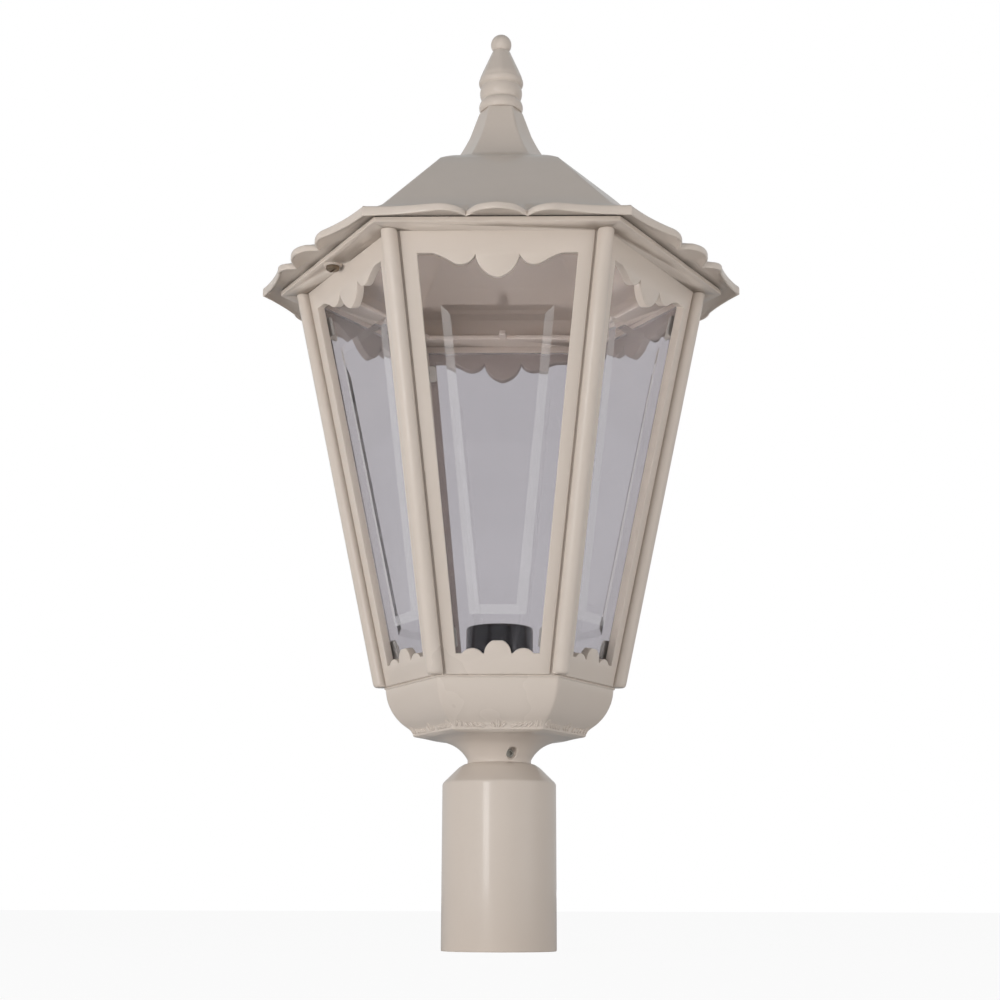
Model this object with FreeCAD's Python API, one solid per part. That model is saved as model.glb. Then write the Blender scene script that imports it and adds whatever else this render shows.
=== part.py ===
import FreeCAD, Part
import math
import os
from FreeCAD import Placement, Rotation, Vector

# Post top lantern: six leaning glazed sides between a round post collar and a hexagonal roof.
# Millimetres. The origin is the centre of the collar's bottom rim, +Z is up, and one flat side
# of the hexagon faces -Y. Heights and widths are steps from the piece below or beside, so a
# changed size carries along what stands on it.

# Fits, seats, and how far a cutting body reaches past what it cuts
running_clearance = 0.06
thread_clearance = 0.05
hole_clearance = 0.4
seat_gap = 0.2
past = 1.0

# Post collar: a tube that slips over the post, with a spigot that carries the head
socket_radius = 30.5
socket_depth = 88.0
collar_wall = 3.0
collar_cap = 7.3
collar_chamfer_height = 9.3
collar_crown_width = 3.0
collar_crown_height = 1.9
collar_crown_bulge = 0.64
collar_ledge = 2.2
spigot_radius = 12.5
spigot_wall = 5.5
spigot_height = 19.5
spigot_groove_rise = 5.5
spigot_groove_width = 6.4
spigot_groove_depth = 1.2

# Collar screws and neck screw: socket set screws
set_screw_radius = 3.0
set_screw_key_radius = 1.5
set_screw_key_depth = 2.0
collar_screw_height = 32.0
neck_screw_radius = 2.5
neck_screw_azimuth = -68.0
neck_screw_recess = 1.6
neck_screw_recess_radius = 3.3
neck_screw_recess_reach = 6.0

# Base bowl: a casting with a round neck and a hexagonal dish
neck_wall = 6.24
neck_straight = 2.5
throat_width = 12.2
throat_height = 10.2
throat_hollow = 1.555
brow_width = 12.0
brow_height = 2.5
brow_hollow = 0.554
lip_inset = 3.0
lip_width = 5.5
lip_height = 1.7
band_width = 1.3
band_height = 2.8
ledge_width = 1.4
ledge_height = 1.2
dish_height = 24.6
dish_bulge = 3.45
dish_rim_inset = 1.6
bowl_wall = 4.4
bowl_floor_thickness = 3.8
cavity_foot_spread = 4.0
cavity_bulge = 2.41
lug_width = 14.0
lug_depth = 6.0
lug_drop = 10.0
lug_rise = 5.0

# Cage: six side frames and six corner posts that lean outwards
cage_height = 248.0
face_bottom_radius = 70.5
face_slope = 0.21535
frame_thickness = 5.0
mitre_gap = 0.15
rebate_width = 6.0
rebate_depth = 1.4
bead_radius = 4.8

# Window outline, measured up the slope and across from the middle of the frame
sill_height = 11.7
stile_foot_width = 12.89
stile_head_width = 14.58
valance_drop = 13.0
sill_bump_margin = 3.4
sill_bump_rise = 2.9
sill_crest_gap = 1.0
sill_crest_foot = 7.6
sill_crest_top = 2.8
sill_crest_rise = 7.2
sill_crest_bulge = 1.23
valance_flat = 9.0
valance_ogee_end = 25.6
valance_ogee_drop = 5.4
valance_ogee_bulge = 0.51
valance_lobe_bulge = 3.06
valance_cusp = 12.6
valance_cusp_drop = 0.8
valance_tongue_bulge = 2.03
valance_tongue_half = 3.0
valance_tongue_side_drop = 13.1
valance_tongue_tip = 0.8

# Glass panes: flat sheets with a raised, bevelled middle
pane_thickness = 3.0
pane_overlap = 4.5
pane_top_cover = 5.6
bevel_rise = 1.5
bevel_band = 5.6
bevel_bottom_margin = 22.0
bevel_top_margin = 29.0
bevel_foot_side_margin = 9.57
bevel_head_side_margin = 10.55

# Corner clamps that hold two panes each, and their screws
clamp_thickness = 1.5
clamp_leg = 9.0
clamp_half_height = 6.0
clamp_foot_rise = 21.8
clamp_head_drop = 22.2
clamp_head_standoff = 2.2
small_screw_radius = 1.5
small_head_radius = 2.9
small_head_height = 1.8
head_overlap = 0.5
post_screw_bite = 3.0
post_screw_room = 4.0
mitre_screw_room = 14.0
rail_screw_rise = 2.8
rail_screw_bite = 3.6
rail_head_radius = 2.0
flange_screw_length = 12.0
flange_screw_shift = 1.2

# Top flange, gasket and roof screws
flange_overhang = 15.2
flange_thickness = 3.0
flange_inner_width = 24.6
ear_width = 4.3
ear_length = 10.0
ear_root = 2.0
gasket_thickness = 1.0
gasket_inset = 1.6
gasket_width = 12.0
roof_screw_radius = 2.0
roof_screw_length = 11.5
roof_screw_head_radius = 4.0
roof_screw_head_height = 2.4
roof_screw_inset = 7.26
roof_screw_side_shift = -4.0
roof_screw_boss_radius = 5.6
roof_screw_boss_height = 0.8
driver_slot_width = 1.0
driver_slot_depth = 0.8
countersink_room = 0.1

# Roof canopy: brim with scalloped edge, six flat slopes, rounded shoulder and flared neck
roof_wall = 3.2
roof_seat_width = 20.1
slope_foot_inset = 4.1
slope_foot_rise = 5.6
slope_height = 56.4
shoulder_width = 20.5
shoulder_height = 9.5
shoulder_bulge = 0.45
cap_width = 14.0
cap_height = 6.5
flare_width = 16.0
flare_height = 25.6
flare_hollow = 1.0
neck_taper = 5.8
neck_height = 16.5
roof_neck_radius = 14.2
neck_top_wall = 8.5
neck_foot_wall = 4.0
neck_foot_drop = 2.0
slope_wall_width = 2.2
slope_wall_height = 2.6
shoulder_wall_width = 4.0
shoulder_wall_height = 1.8
brim_join_inset = 5.0
brim_cove_rise = 0.6
brim_bead_rise = 1.0
brim_cove_share = 0.3
scallop_corner = 9.8
scallop_side_middle = (55.0, 11.4)
scallop_crest = (36.0, 15.2)
scallop_fall = (24.0, 16.6)
scallop_notch = (17.0, 11.5)
scallop_centre = 20.0

# Finial: three turned beads, a faceted spire and a ball; and its stud, nut and washer
finial_foot_inset = 0.8
ring_height = 8.3
ring_bulge = 1.43
finial_waist_radius = 12.0
bead_height = 9.4
bead_bulge = 1.27
bead_top_radius = 12.8
rim_height = 5.2
rim_bulge = 0.95
rim_top_radius = 14.0
spire_root = 0.6
spire_foot_radius = 14.4
spire_shoulder_radius = 13.6
spire_shoulder_height = 3.4
spire_top_radius = 5.8
spire_height = 17.2
ball_radius = 6.7
ball_rise = 5.1
spire_facets = 8
stud_radius = 4.0
stud_bite = 16.0
stud_tail = 3.0
nut_radius = 7.5
nut_height = 6.5
washer_radius = 8.2
washer_thickness = 1.5

# Cable nipple with its nuts and wiring strip
nipple_radius = 5.0
nipple_bore = 3.6
nipple_drop = 10.2
nipple_bite = 5.8
lock_nut_radius = 8.1
lock_nut_height = 4.0
thin_nut_height = 3.0
strip_width = 20.0
strip_thickness = 2.0
strip_short_end = 20.0
strip_long_end = 41.0

# Lamp holder on top of the nipple
holder_radius = 20.0
holder_wall = 2.4
holder_skirt_length = 30.8
holder_base_radius = 14.6
holder_base_height = 8.0
holder_shoulder_height = 10.0
holder_shoulder_bulge = 1.35
holder_entry_depth = 6.0
core_margin = 0.5
core_thickness = 7.0
core_pocket_radius = 9.5
core_pocket_depth = 4.0
core_lead_distance = 5.7
shell_inner_radius = 13.4
shell_thickness = 0.5
shell_top_drop = 4.0
contact_half_width = 2.4
contact_thickness = 0.6
contact_rise = 2.8
contact_reach = 8.0
contact_fold = 4.0

# Terminal block, leads and earth screw
terminal_length = 15.0
terminal_width = 19.0
terminal_height = 12.0
terminal_poles = 3
terminal_end_margin = 1.0
terminal_wire_rise = 5.0
terminal_screw_radius = 1.7
terminal_screw_inset = 3.5
terminal_well_depth = 4.0
terminal_screw_stand = 1.0
lead_radius = 1.2
lead_shift = 4.0
lead_bite = 5.0
lead_bend_out = 3.5
lead_reach_in = 6.0
lead_reach_out = 2.0
earth_boss_radius = 5.0
earth_boss_height = 3.0
earth_boss_distance = 34.0
earth_head_radius = 3.6
earth_head_height = 2.4
earth_screw_length = 5.0

# Worked out from the dimensions above: the hexagon and the lean
sixth = 60.0
half_turn = math.radians(sixth / 2)
apothem_share = math.cos(half_turn)
lean = math.atan(face_slope * apothem_share)
first_side_azimuth = -90.0
first_corner_azimuth = -60.0
side_names = ("front", "front_right", "back_right", "back", "back_left", "front_left")
corner_names = ("front_right", "right", "back_right", "back_left", "left", "front_left")

# Worked out: collar and neck
collar_radius = socket_radius + collar_wall
collar_straight = socket_depth + collar_cap
collar_shoulder_height = collar_straight + collar_chamfer_height
collar_height = collar_shoulder_height + collar_crown_height
neck_radius = spigot_radius + running_clearance + neck_wall
collar_top_radius = neck_radius + collar_ledge
collar_shoulder_radius = collar_top_radius + collar_crown_width
spigot_bore = spigot_radius - spigot_wall
spigot_top = collar_height + spigot_height
groove_middle = collar_height + spigot_groove_rise
neck_bottom = collar_height + seat_gap
neck_bore_top = spigot_top + seat_gap

# Worked out: bowl
throat_bottom = neck_bottom + neck_straight
throat_top = throat_bottom + throat_height
throat_radius = neck_radius + throat_width
brow_top = throat_top + brow_height
brow_radius = throat_radius + brow_width
lip_bottom_radius = brow_radius + lip_inset
lip_top = brow_top + lip_height
lip_radius = lip_bottom_radius + lip_width
band_top = lip_top + band_height
band_radius = lip_radius + band_width
waist_height = band_top + ledge_height
waist_radius = band_radius + ledge_width
bowl_floor = neck_bore_top + bowl_floor_thickness

# Worked out: cage
cage_bottom = waist_height + dish_height
cage_top = cage_bottom + cage_height
rim_radius = face_bottom_radius - dish_rim_inset
slope_length = cage_height / math.cos(lean)
valance_height = slope_length - valance_drop
clamp_heights = (cage_bottom + clamp_foot_rise, cage_top - clamp_head_drop)
pane_outer_depth = frame_thickness + seat_gap
pane_inner_depth = pane_outer_depth + pane_thickness
clamp_outer_depth = pane_inner_depth + seat_gap
clamp_inner_depth = clamp_outer_depth + clamp_thickness

# Worked out: flange and roof
cage_top_radius = face_bottom_radius + face_slope * cage_height
flange_radius = cage_top_radius + flange_overhang
flange_apothem = flange_radius * apothem_share
flange_opening_radius = cage_top_radius - flange_inner_width
flange_top = cage_top + flange_thickness
roof_bottom = flange_top + gasket_thickness + seat_gap
roof_inner_radius = flange_radius - roof_seat_width
slope_foot_radius = flange_radius - slope_foot_inset
slope_foot_height = roof_bottom + slope_foot_rise
flare_end_radius = roof_neck_radius + neck_taper
flare_start_radius = flare_end_radius + flare_width
shoulder_end_radius = flare_start_radius + cap_width
slope_top_radius = shoulder_end_radius + shoulder_width
slope_top_height = slope_foot_height + slope_height
shoulder_end_height = slope_top_height + shoulder_height
flare_start_height = shoulder_end_height + cap_height
flare_end_height = flare_start_height + flare_height
roof_neck_height = flare_end_height + neck_height
neck_ceiling = roof_neck_height - neck_top_wall
slope_rate = slope_height / (slope_foot_radius - slope_top_radius)
brim_join_radius = slope_foot_radius - brim_join_inset
brim_join_height = slope_foot_height + brim_join_inset * slope_rate
brim_cove_height = roof_bottom + brim_cove_rise
brim_bead_height = brim_cove_height + brim_bead_rise
brim_corner_half = (flange_apothem + scallop_corner) * math.tan(half_turn)

# Worked out: lamp holder
strip_bottom = bowl_floor + lock_nut_height
strip_top = strip_bottom + strip_thickness
holder_bottom = strip_top + thin_nut_height + seat_gap
holder_skirt_bottom = holder_bottom + holder_base_height + holder_shoulder_height
holder_top = holder_skirt_bottom + holder_skirt_length
core_radius = shell_inner_radius + shell_thickness + core_margin
core_bottom = holder_skirt_bottom - core_thickness + seat_gap
core_top = core_bottom + core_thickness
lead_height = holder_bottom + holder_entry_depth + lead_radius + hole_clearance + seat_gap
terminal_high_x = strip_long_end - terminal_end_margin
terminal_low_x = terminal_high_x - terminal_length
terminal_pitch = terminal_width / terminal_poles


def face_radius(z):
    """Circumradius of the cage's outer face planes at height z."""
    return face_bottom_radius + face_slope * (z - cage_bottom)


def turned(shape, angle):
    """A copy turned about the lantern's axis."""
    copy = shape.copy()
    copy.rotate(Vector(0, 0, 0), Vector(0, 0, 1), angle)
    return copy


def ring_of(shape, count):
    """The same shape, repeated evenly around the axis."""
    return [turned(shape, 360.0 / count * index) for index in range(count)]


def polygon(corners, circumradius, first_azimuth, z):
    """Closed regular polygon around the axis."""
    points = []
    for index in range(corners + 1):
        angle = math.radians(first_azimuth + 360.0 / corners * index)
        points.append(Vector(circumradius * math.cos(angle), circumradius * math.sin(angle), z))
    return Part.makePolygon(points)


def hexagon(circumradius, z):
    return polygon(6, circumradius, 0.0, z)


def hex_frustum(low, high):
    """Solid between two hexagons, each given as (circumradius, z)."""
    return Part.makeLoft([hexagon(*low), hexagon(*high)], True, True)


def hex_prism(circumradius, low, high):
    return hex_frustum((circumradius, low), (circumradius, high))


def cage_core(depth, low, high):
    """Everything inside the cage's face planes, moved inwards by depth square to the face."""
    inset = depth / math.cos(lean) / apothem_share
    return hex_frustum((face_radius(low) - inset, low), (face_radius(high) - inset, high))


def arc_middle(start, end, bulge):
    """Middle of an arc that stands out to the right of the straight line from start to end."""
    across = end[0] - start[0]
    up = end[1] - start[1]
    length = math.hypot(across, up)
    return ((start[0] + end[0]) / 2 + bulge * up / length,
            (start[1] + end[1]) / 2 - bulge * across / length)


def outline_wire(steps, place):
    """Wire from a first point and steps of (end,) or (end, bulge), put in space by place."""
    edges = []
    here = steps[0]
    for step in steps[1:]:
        end = step[0]
        if len(step) == 1:
            edges.append(Part.LineSegment(place(here), place(end)).toShape())
        else:
            middle = arc_middle(here, end, step[1])
            edges.append(Part.Arc(place(here), place(middle), place(end)).toShape())
        here = end
    return Part.Wire(edges)


def revolved(steps):
    """Solid of revolution from a closed outline of (radius, z) points."""
    closed = steps + [(steps[0],)]
    wire = outline_wire(closed, lambda point: Vector(point[0], 0, point[1]))
    return Part.Face(wire).revolve(Vector(0, 0, 0), Vector(0, 0, 1), 360)


def hex_turned(steps):
    """Hexagonal counterpart of a turned shape: the steps give (circumradius, z) up one side."""
    up = outline_wire(steps, lambda point: Vector(0, point[0] * apothem_share, point[1]))
    down = up.mirror(Vector(0, 0, 0), Vector(0, 1, 0))
    low = Vector(0, steps[0][0] * apothem_share, steps[0][1])
    high = Vector(0, steps[-1][0][0] * apothem_share, steps[-1][0][1])
    bottom = Part.LineSegment(Vector(0, -low.y, low.z), low).toShape()
    top = Part.LineSegment(high, Vector(0, -high.y, high.z)).toShape()
    loop = Part.Wire(Part.__sortEdges__(up.Edges + [top, bottom] + down.Edges))
    reach = up.BoundBox.YMax * 2.5
    prism = Part.Face(loop).extrude(Vector(2 * reach, 0, 0))
    prism.translate(Vector(-reach, 0, 0))
    return prism.common(turned(prism, sixth)).common(turned(prism, 2 * sixth))


def tube(outer, inner, low, high):
    body = Part.makeCylinder(outer, high - low, Vector(0, 0, low))
    return body.cut(Part.makeCylinder(inner, high - low + 2 * past, Vector(0, 0, low - past)))


def radial_rod(radius, inner, outer, z, azimuth):
    """Rod along a horizontal radius, from one distance off the axis to another."""
    direction = Vector(math.cos(math.radians(azimuth)), math.sin(math.radians(azimuth)), 0)
    start = direction * inner
    start.z = z
    return Part.makeCylinder(radius, outer - inner, start, direction)


def upright(radius, low, high, place):
    return Part.makeCylinder(radius, high - low, Vector(place.x, place.y, low))


def block(low_x, high_x, low_y, high_y, low_z, high_z):
    corner = Vector(low_x, low_y, low_z)
    return Part.makeBox(high_x - low_x, high_y - low_y, high_z - low_z, corner)


def hex_nut(circumradius, bore, low, height):
    body = hex_prism(circumradius, low, low + height)
    return body.cut(Part.makeCylinder(bore, height + 2 * past, Vector(0, 0, low - past)))


# ---- Post collar and set screws ----

def make_collar():
    """Turned collar with socket, chamfered shoulder and grooved spigot."""
    body = revolved([
        (socket_radius, 0),
        ((collar_radius, 0),),
        ((collar_radius, collar_straight),),
        ((collar_shoulder_radius, collar_shoulder_height),),
        ((collar_top_radius, collar_height), collar_crown_bulge),
        ((spigot_radius, collar_height),),
        ((spigot_radius, spigot_top),),
        ((spigot_bore, spigot_top),),
        ((spigot_bore, socket_depth),),
        ((socket_radius, socket_depth),),
    ])
    groove = tube(spigot_radius + past, spigot_radius - spigot_groove_depth,
                  groove_middle - spigot_groove_width / 2, groove_middle + spigot_groove_width / 2)
    body = body.cut(groove)
    hole = set_screw_radius + thread_clearance
    for azimuth in (0, 180):
        body = body.cut(radial_rod(hole, socket_radius - past, collar_radius + past,
                                   collar_screw_height, azimuth))
    return body


def set_screw(radius, inner, outer, z, azimuth):
    """Headless screw with a socket for a key in its outer end."""
    body = radial_rod(radius, inner, outer, z, azimuth)
    return body.cut(radial_rod(set_screw_key_radius, outer - set_screw_key_depth, outer + past,
                               z, azimuth))


def make_collar_screw(azimuth):
    """Socket set screw, flush with the collar's outside and inside."""
    return set_screw(set_screw_radius, socket_radius + seat_gap, collar_radius - seat_gap,
                     collar_screw_height, azimuth)


def neck_screw_span():
    inner = spigot_radius - spigot_groove_depth + seat_gap
    outer = neck_radius - neck_screw_recess
    return inner, outer


def make_neck_screw():
    """Set screw through the neck, with its tip in the spigot's groove."""
    inner, outer = neck_screw_span()
    return set_screw(neck_screw_radius, inner, outer, groove_middle, neck_screw_azimuth)


# ---- Base bowl ----

def lug_back():
    """Distance off the axis of the seat that the side frames' bottom rails share with the lugs."""
    return face_radius(cage_bottom) * apothem_share - pane_outer_depth / math.cos(lean)


def bowl_lug():
    """Lug on the bowl's inner wall, behind the bottom rail of the front side frame."""
    return block(-lug_width / 2, lug_width / 2, -lug_back(), lug_depth - lug_back(),
                 cage_bottom - lug_drop, cage_bottom + lug_rise)


def bowl_outside():
    """Hexagonal dish with its lip and band."""
    return hex_turned([
        (lip_bottom_radius, brow_top),
        ((lip_radius, lip_top),),
        ((band_radius, band_top),),
        ((waist_radius, waist_height),),
        ((rim_radius, cage_bottom), dish_bulge),
    ])


def bowl_stem():
    """Round neck that flares out under the dish."""
    return revolved([
        (0, neck_bottom),
        ((neck_radius, neck_bottom),),
        ((neck_radius, throat_bottom),),
        ((throat_radius, throat_top), -throat_hollow),
        ((brow_radius, brow_top), -brow_hollow),
        ((0, brow_top),),
    ])


def bowl_cavity():
    inset = bowl_wall / apothem_share
    return hex_turned([
        (waist_radius + cavity_foot_spread - inset, bowl_floor),
        ((rim_radius - inset, cage_bottom), cavity_bulge),
        ((rim_radius - inset, cage_bottom + past),),
    ])


def make_bowl():
    """Neck, flared underside and hexagonal dish, cored out from above and below."""
    body = bowl_outside().fuse(bowl_stem()).cut(bowl_cavity())
    for lug in ring_of(bowl_lug(), 6):
        body = body.fuse(lug)
    boss = Part.makeCylinder(earth_boss_radius, earth_boss_height + past,
                             Vector(-earth_boss_distance, 0, bowl_floor - past))
    body = body.fuse(boss).removeSplitter()
    bore = Part.makeCylinder(spigot_radius + running_clearance, neck_bore_top - neck_bottom + past,
                             Vector(0, 0, neck_bottom - past))
    entry = Part.makeCylinder(nipple_radius + thread_clearance,
                              bowl_floor - neck_bore_top + 2 * past,
                              Vector(0, 0, neck_bore_top - past))
    body = body.cut(bore).cut(entry)
    outer = neck_screw_span()[1]
    body = body.cut(radial_rod(neck_screw_radius + thread_clearance, spigot_radius - past,
                               neck_radius + past, groove_middle, neck_screw_azimuth))
    body = body.cut(radial_rod(neck_screw_recess_radius, outer, neck_radius + neck_screw_recess_reach,
                               groove_middle, neck_screw_azimuth))
    for side in range(6):
        body = body.cut(rail_screw_rod(small_screw_radius + thread_clearance, side))
    return body.cut(earth_screw_hole())


def rail_screw_rod(radius, side):
    """Hole for the screw that ties a side frame's bottom rail to the bowl's lug."""
    inner, outer = rail_screw_span()
    return radial_rod(radius, inner - past, outer + seat_gap, cage_bottom + rail_screw_rise,
                      first_side_azimuth + sixth * side)


def rail_screw_span():
    """Distances off the axis of the rail screw's head seat and tip."""
    return lug_back() - lug_depth, lug_back() + rail_screw_bite


def earth_screw_hole():
    floor = bowl_floor + earth_boss_height - earth_screw_length
    return Part.makeCylinder(small_screw_radius + thread_clearance, earth_screw_length + seat_gap,
                             Vector(-earth_boss_distance, 0, floor))


# ---- Cage ----

def side_placement():
    """From the front face's own plane (across, up the slope, outwards) to the lantern's frame."""
    foot = Vector(0, -face_bottom_radius * apothem_share, cage_bottom)
    return Placement(foot, Rotation(Vector(1, 0, 0), 90 + math.degrees(lean)))


def on_face(wire, outer_depth, inner_depth):
    """Flat plate on the front side, between two depths behind the outer face."""
    face = Part.Face(wire)
    face.translate(Vector(0, 0, -inner_depth))
    plate = face.extrude(Vector(0, 0, inner_depth - outer_depth))
    plate.Placement = side_placement().multiply(plate.Placement)
    return plate


def corner_half(rise):
    """Half width of a face at a distance up its slope."""
    return face_radius(cage_bottom + rise * math.cos(lean)) / 2


def window_half(rise):
    """Half width of the window at a distance up the slope."""
    low = corner_half(sill_height) - stile_foot_width
    high = corner_half(valance_height) - stile_head_width
    return low + (rise - sill_height) / (valance_height - sill_height) * (high - low)


def trapezoid(low_half, low, high_half, high):
    points = [Vector(-low_half, low, 0), Vector(low_half, low, 0), Vector(high_half, high, 0),
              Vector(-high_half, high, 0), Vector(-low_half, low, 0)]
    return Part.makePolygon(points)


def in_face(point):
    """A point of the face's own plane."""
    return Vector(point[0], point[1], 0)


def window_wire():
    """Window with three crests on the sill and a scalloped valance at the top."""
    sill = sill_height
    head = valance_height
    crest = (sill_crest_top, sill + sill_crest_rise)
    tongue = (valance_tongue_half, head - valance_tongue_side_drop)
    half = outline_wire([
        crest,
        ((sill_crest_foot, sill), -sill_crest_bulge),
        ((sill_crest_foot + sill_crest_gap, sill),),
        ((window_half(sill) - sill_bump_margin, sill), -sill_bump_rise),
        ((window_half(sill), sill),),
        ((window_half(head), head),),
        ((window_half(head) - valance_flat, head),),
        ((valance_ogee_end, head - valance_ogee_drop), valance_ogee_bulge),
        ((valance_cusp, head - valance_cusp_drop), -valance_lobe_bulge),
        (tongue, -valance_tongue_bulge),
    ], in_face)
    other = half.mirror(Vector(0, 0, 0), Vector(1, 0, 0))
    top = outline_wire([(-crest[0], crest[1]), (crest,)], in_face)
    tip = outline_wire([tongue, ((-tongue[0], tongue[1]), -valance_tongue_tip)], in_face)
    return Part.Wire(Part.__sortEdges__(half.Edges + tip.Edges + top.Edges + other.Edges))


def side_sector():
    """Upright wedge between the two mitre planes of the front side, less the mitre gap."""
    reach = 2 * face_radius(cage_top)
    apex = Vector(0, -2 * mitre_gap, 0)
    left = apex + Vector(-reach * math.sin(half_turn), -reach * math.cos(half_turn), 0)
    right = apex + Vector(reach * math.sin(half_turn), -reach * math.cos(half_turn), 0)
    face = Part.Face(Part.makePolygon([apex, left, right, apex]))
    face.translate(Vector(0, 0, cage_bottom))
    return face.extrude(Vector(0, 0, cage_height))


def rebate_strip():
    """The strip along the right mitre edge that the corner post's bead covers."""
    low = -frame_thickness
    high = slope_length + frame_thickness
    points = [Vector(corner_half(low) - rebate_width, low, 0),
              Vector(corner_half(low) + rebate_width, low, 0),
              Vector(corner_half(high) + rebate_width, high, 0),
              Vector(corner_half(high) - rebate_width, high, 0)]
    return on_face(Part.makePolygon(points + [points[0]]), -past, rebate_depth)


def make_side_frame():
    """Front side frame: stiles, sill rail and valance in one casting."""
    low = -frame_thickness
    high = slope_length + frame_thickness
    sheet = on_face(trapezoid(corner_half(low) + rebate_width, low,
                              corner_half(high) + rebate_width, high), 0, frame_thickness)
    frame = sheet.common(side_sector())
    frame = frame.cut(on_face(window_wire(), -past, frame_thickness + past))
    strip = rebate_strip()
    frame = frame.cut(strip).cut(strip.mirror(Vector(0, 0, 0), Vector(1, 0, 0)))
    for height in clamp_heights:
        for azimuth in (first_corner_azimuth, first_corner_azimuth - sixth):
            frame = frame.cut(radial_rod(small_screw_radius + hole_clearance,
                                         face_radius(height) - mitre_screw_room,
                                         face_radius(height) + past, height, azimuth))
    return frame.cut(rail_screw_rod(small_screw_radius + thread_clearance, 0))


def make_corner_post():
    """Half-round bead that covers the joint of two side frames, for the front right corner."""
    azimuth = math.radians(first_corner_azimuth)
    outward = Vector(math.cos(azimuth), math.sin(azimuth), 0)
    foot = outward * face_radius(cage_bottom - bead_radius)
    foot.z = cage_bottom - bead_radius
    head = outward * face_radius(cage_top + bead_radius)
    head.z = cage_top + bead_radius
    run = head - foot
    bead = Part.makeCylinder(bead_radius, run.Length, foot, run)
    post = bead.common(hex_prism(2 * face_radius(cage_top), cage_bottom, cage_top))
    post = post.cut(cage_core(rebate_depth - seat_gap, cage_bottom - past, cage_top + past))
    for height in clamp_heights:
        post = post.cut(radial_rod(small_screw_radius + thread_clearance,
                                   face_radius(height) - post_screw_room,
                                   face_radius(height) + post_screw_bite + seat_gap,
                                   height, first_corner_azimuth))
    return post.cut(flange_screw_rod(small_screw_radius + thread_clearance))


def flange_screw_rod(radius):
    """Upright rod down through the flange into the front right corner post's top end."""
    azimuth = math.radians(first_corner_azimuth)
    distance = face_radius(cage_top - flange_screw_length / 2) + flange_screw_shift
    place = Vector(distance * math.cos(azimuth), distance * math.sin(azimuth), 0)
    return upright(radius, flange_top - flange_screw_length, flange_top, place)


def make_pane():
    """Front pane: flat sheet with a raised middle and sloping bevels on its outer face."""
    low = lug_rise / math.cos(lean) + seat_gap
    high = valance_height + pane_top_cover
    sheet = on_face(trapezoid(window_half(low) + pane_overlap, low,
                              window_half(high) + pane_overlap, high),
                    pane_outer_depth, pane_inner_depth)
    foot = sill_height + bevel_bottom_margin
    head = valance_height - bevel_top_margin
    foot_half = window_half(foot) - bevel_foot_side_margin
    head_half = window_half(head) - bevel_head_side_margin
    outer = trapezoid(foot_half, foot, head_half, head)
    inner = trapezoid(foot_half - bevel_band, foot + bevel_band,
                      head_half - bevel_band, head - bevel_band)
    outer.translate(Vector(0, 0, -pane_outer_depth))
    inner.translate(Vector(0, 0, bevel_rise - pane_outer_depth))
    raised = Part.makeLoft([outer, inner], True, True)
    raised.Placement = side_placement().multiply(raised.Placement)
    return sheet.fuse(raised).removeSplitter()


def make_clamps():
    """Folded clamp plates inside each corner, each over the edges of two panes."""
    shell = cage_core(clamp_outer_depth, cage_bottom, cage_top)
    shell = shell.cut(cage_core(clamp_inner_depth, cage_bottom - past, cage_top + past))
    reach = clamp_leg * apothem_share
    far = 2 * face_radius(cage_top)
    clamps = []
    for height in clamp_heights:
        window = block(0, far, -reach, reach, height - clamp_half_height, height + clamp_half_height)
        plate = shell.common(window)
        plate = plate.cut(radial_rod(small_screw_radius + hole_clearance, 0, far, height, 0))
        clamps += ring_of(plate, 6)
    return Part.makeCompound(clamps)


def make_clamp_screws():
    """Pan head screws through the clamps and mitres into the corner posts."""
    plate_depth = clamp_inner_depth / math.cos(lean) / apothem_share
    screws = []
    for height in clamp_heights:
        seat = face_radius(height) - plate_depth - clamp_head_standoff
        shank = radial_rod(small_screw_radius, seat - head_overlap,
                           face_radius(height) + post_screw_bite, height, 0)
        head = radial_rod(small_head_radius, seat - small_head_height, seat, height, 0)
        screws += ring_of(shank.fuse(head), 6)
    return Part.makeCompound(screws)


def make_rail_screws():
    """Screws from inside the bowl's lugs into the bottom rails."""
    inner, outer = rail_screw_span()
    height = cage_bottom + rail_screw_rise
    shank = radial_rod(small_screw_radius, inner - head_overlap, outer, height, first_side_azimuth)
    head = radial_rod(rail_head_radius, inner - small_head_height - seat_gap,
                      inner - seat_gap, height, first_side_azimuth)
    return Part.makeCompound(ring_of(shank.fuse(head), 6))


def make_flange_screws():
    """Countersunk screws down into the corner posts' top ends."""
    shank = flange_screw_rod(small_screw_radius)
    place = shank.BoundBox.Center
    head = Part.makeCone(small_screw_radius, small_head_radius, small_head_height,
                         Vector(place.x, place.y, flange_top - small_head_height))
    return Part.makeCompound(ring_of(shank.fuse(head), 6))


# ---- Top flange, gasket and roof screws ----

def roof_screw_place(index):
    """Roof screws sit on the front left side and on the side opposite."""
    azimuth = 180.0 * index - sixth
    place = Vector(roof_screw_side_shift, roof_screw_inset - flange_apothem, 0)
    return Rotation(Vector(0, 0, 1), azimuth).multVec(place)


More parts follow.
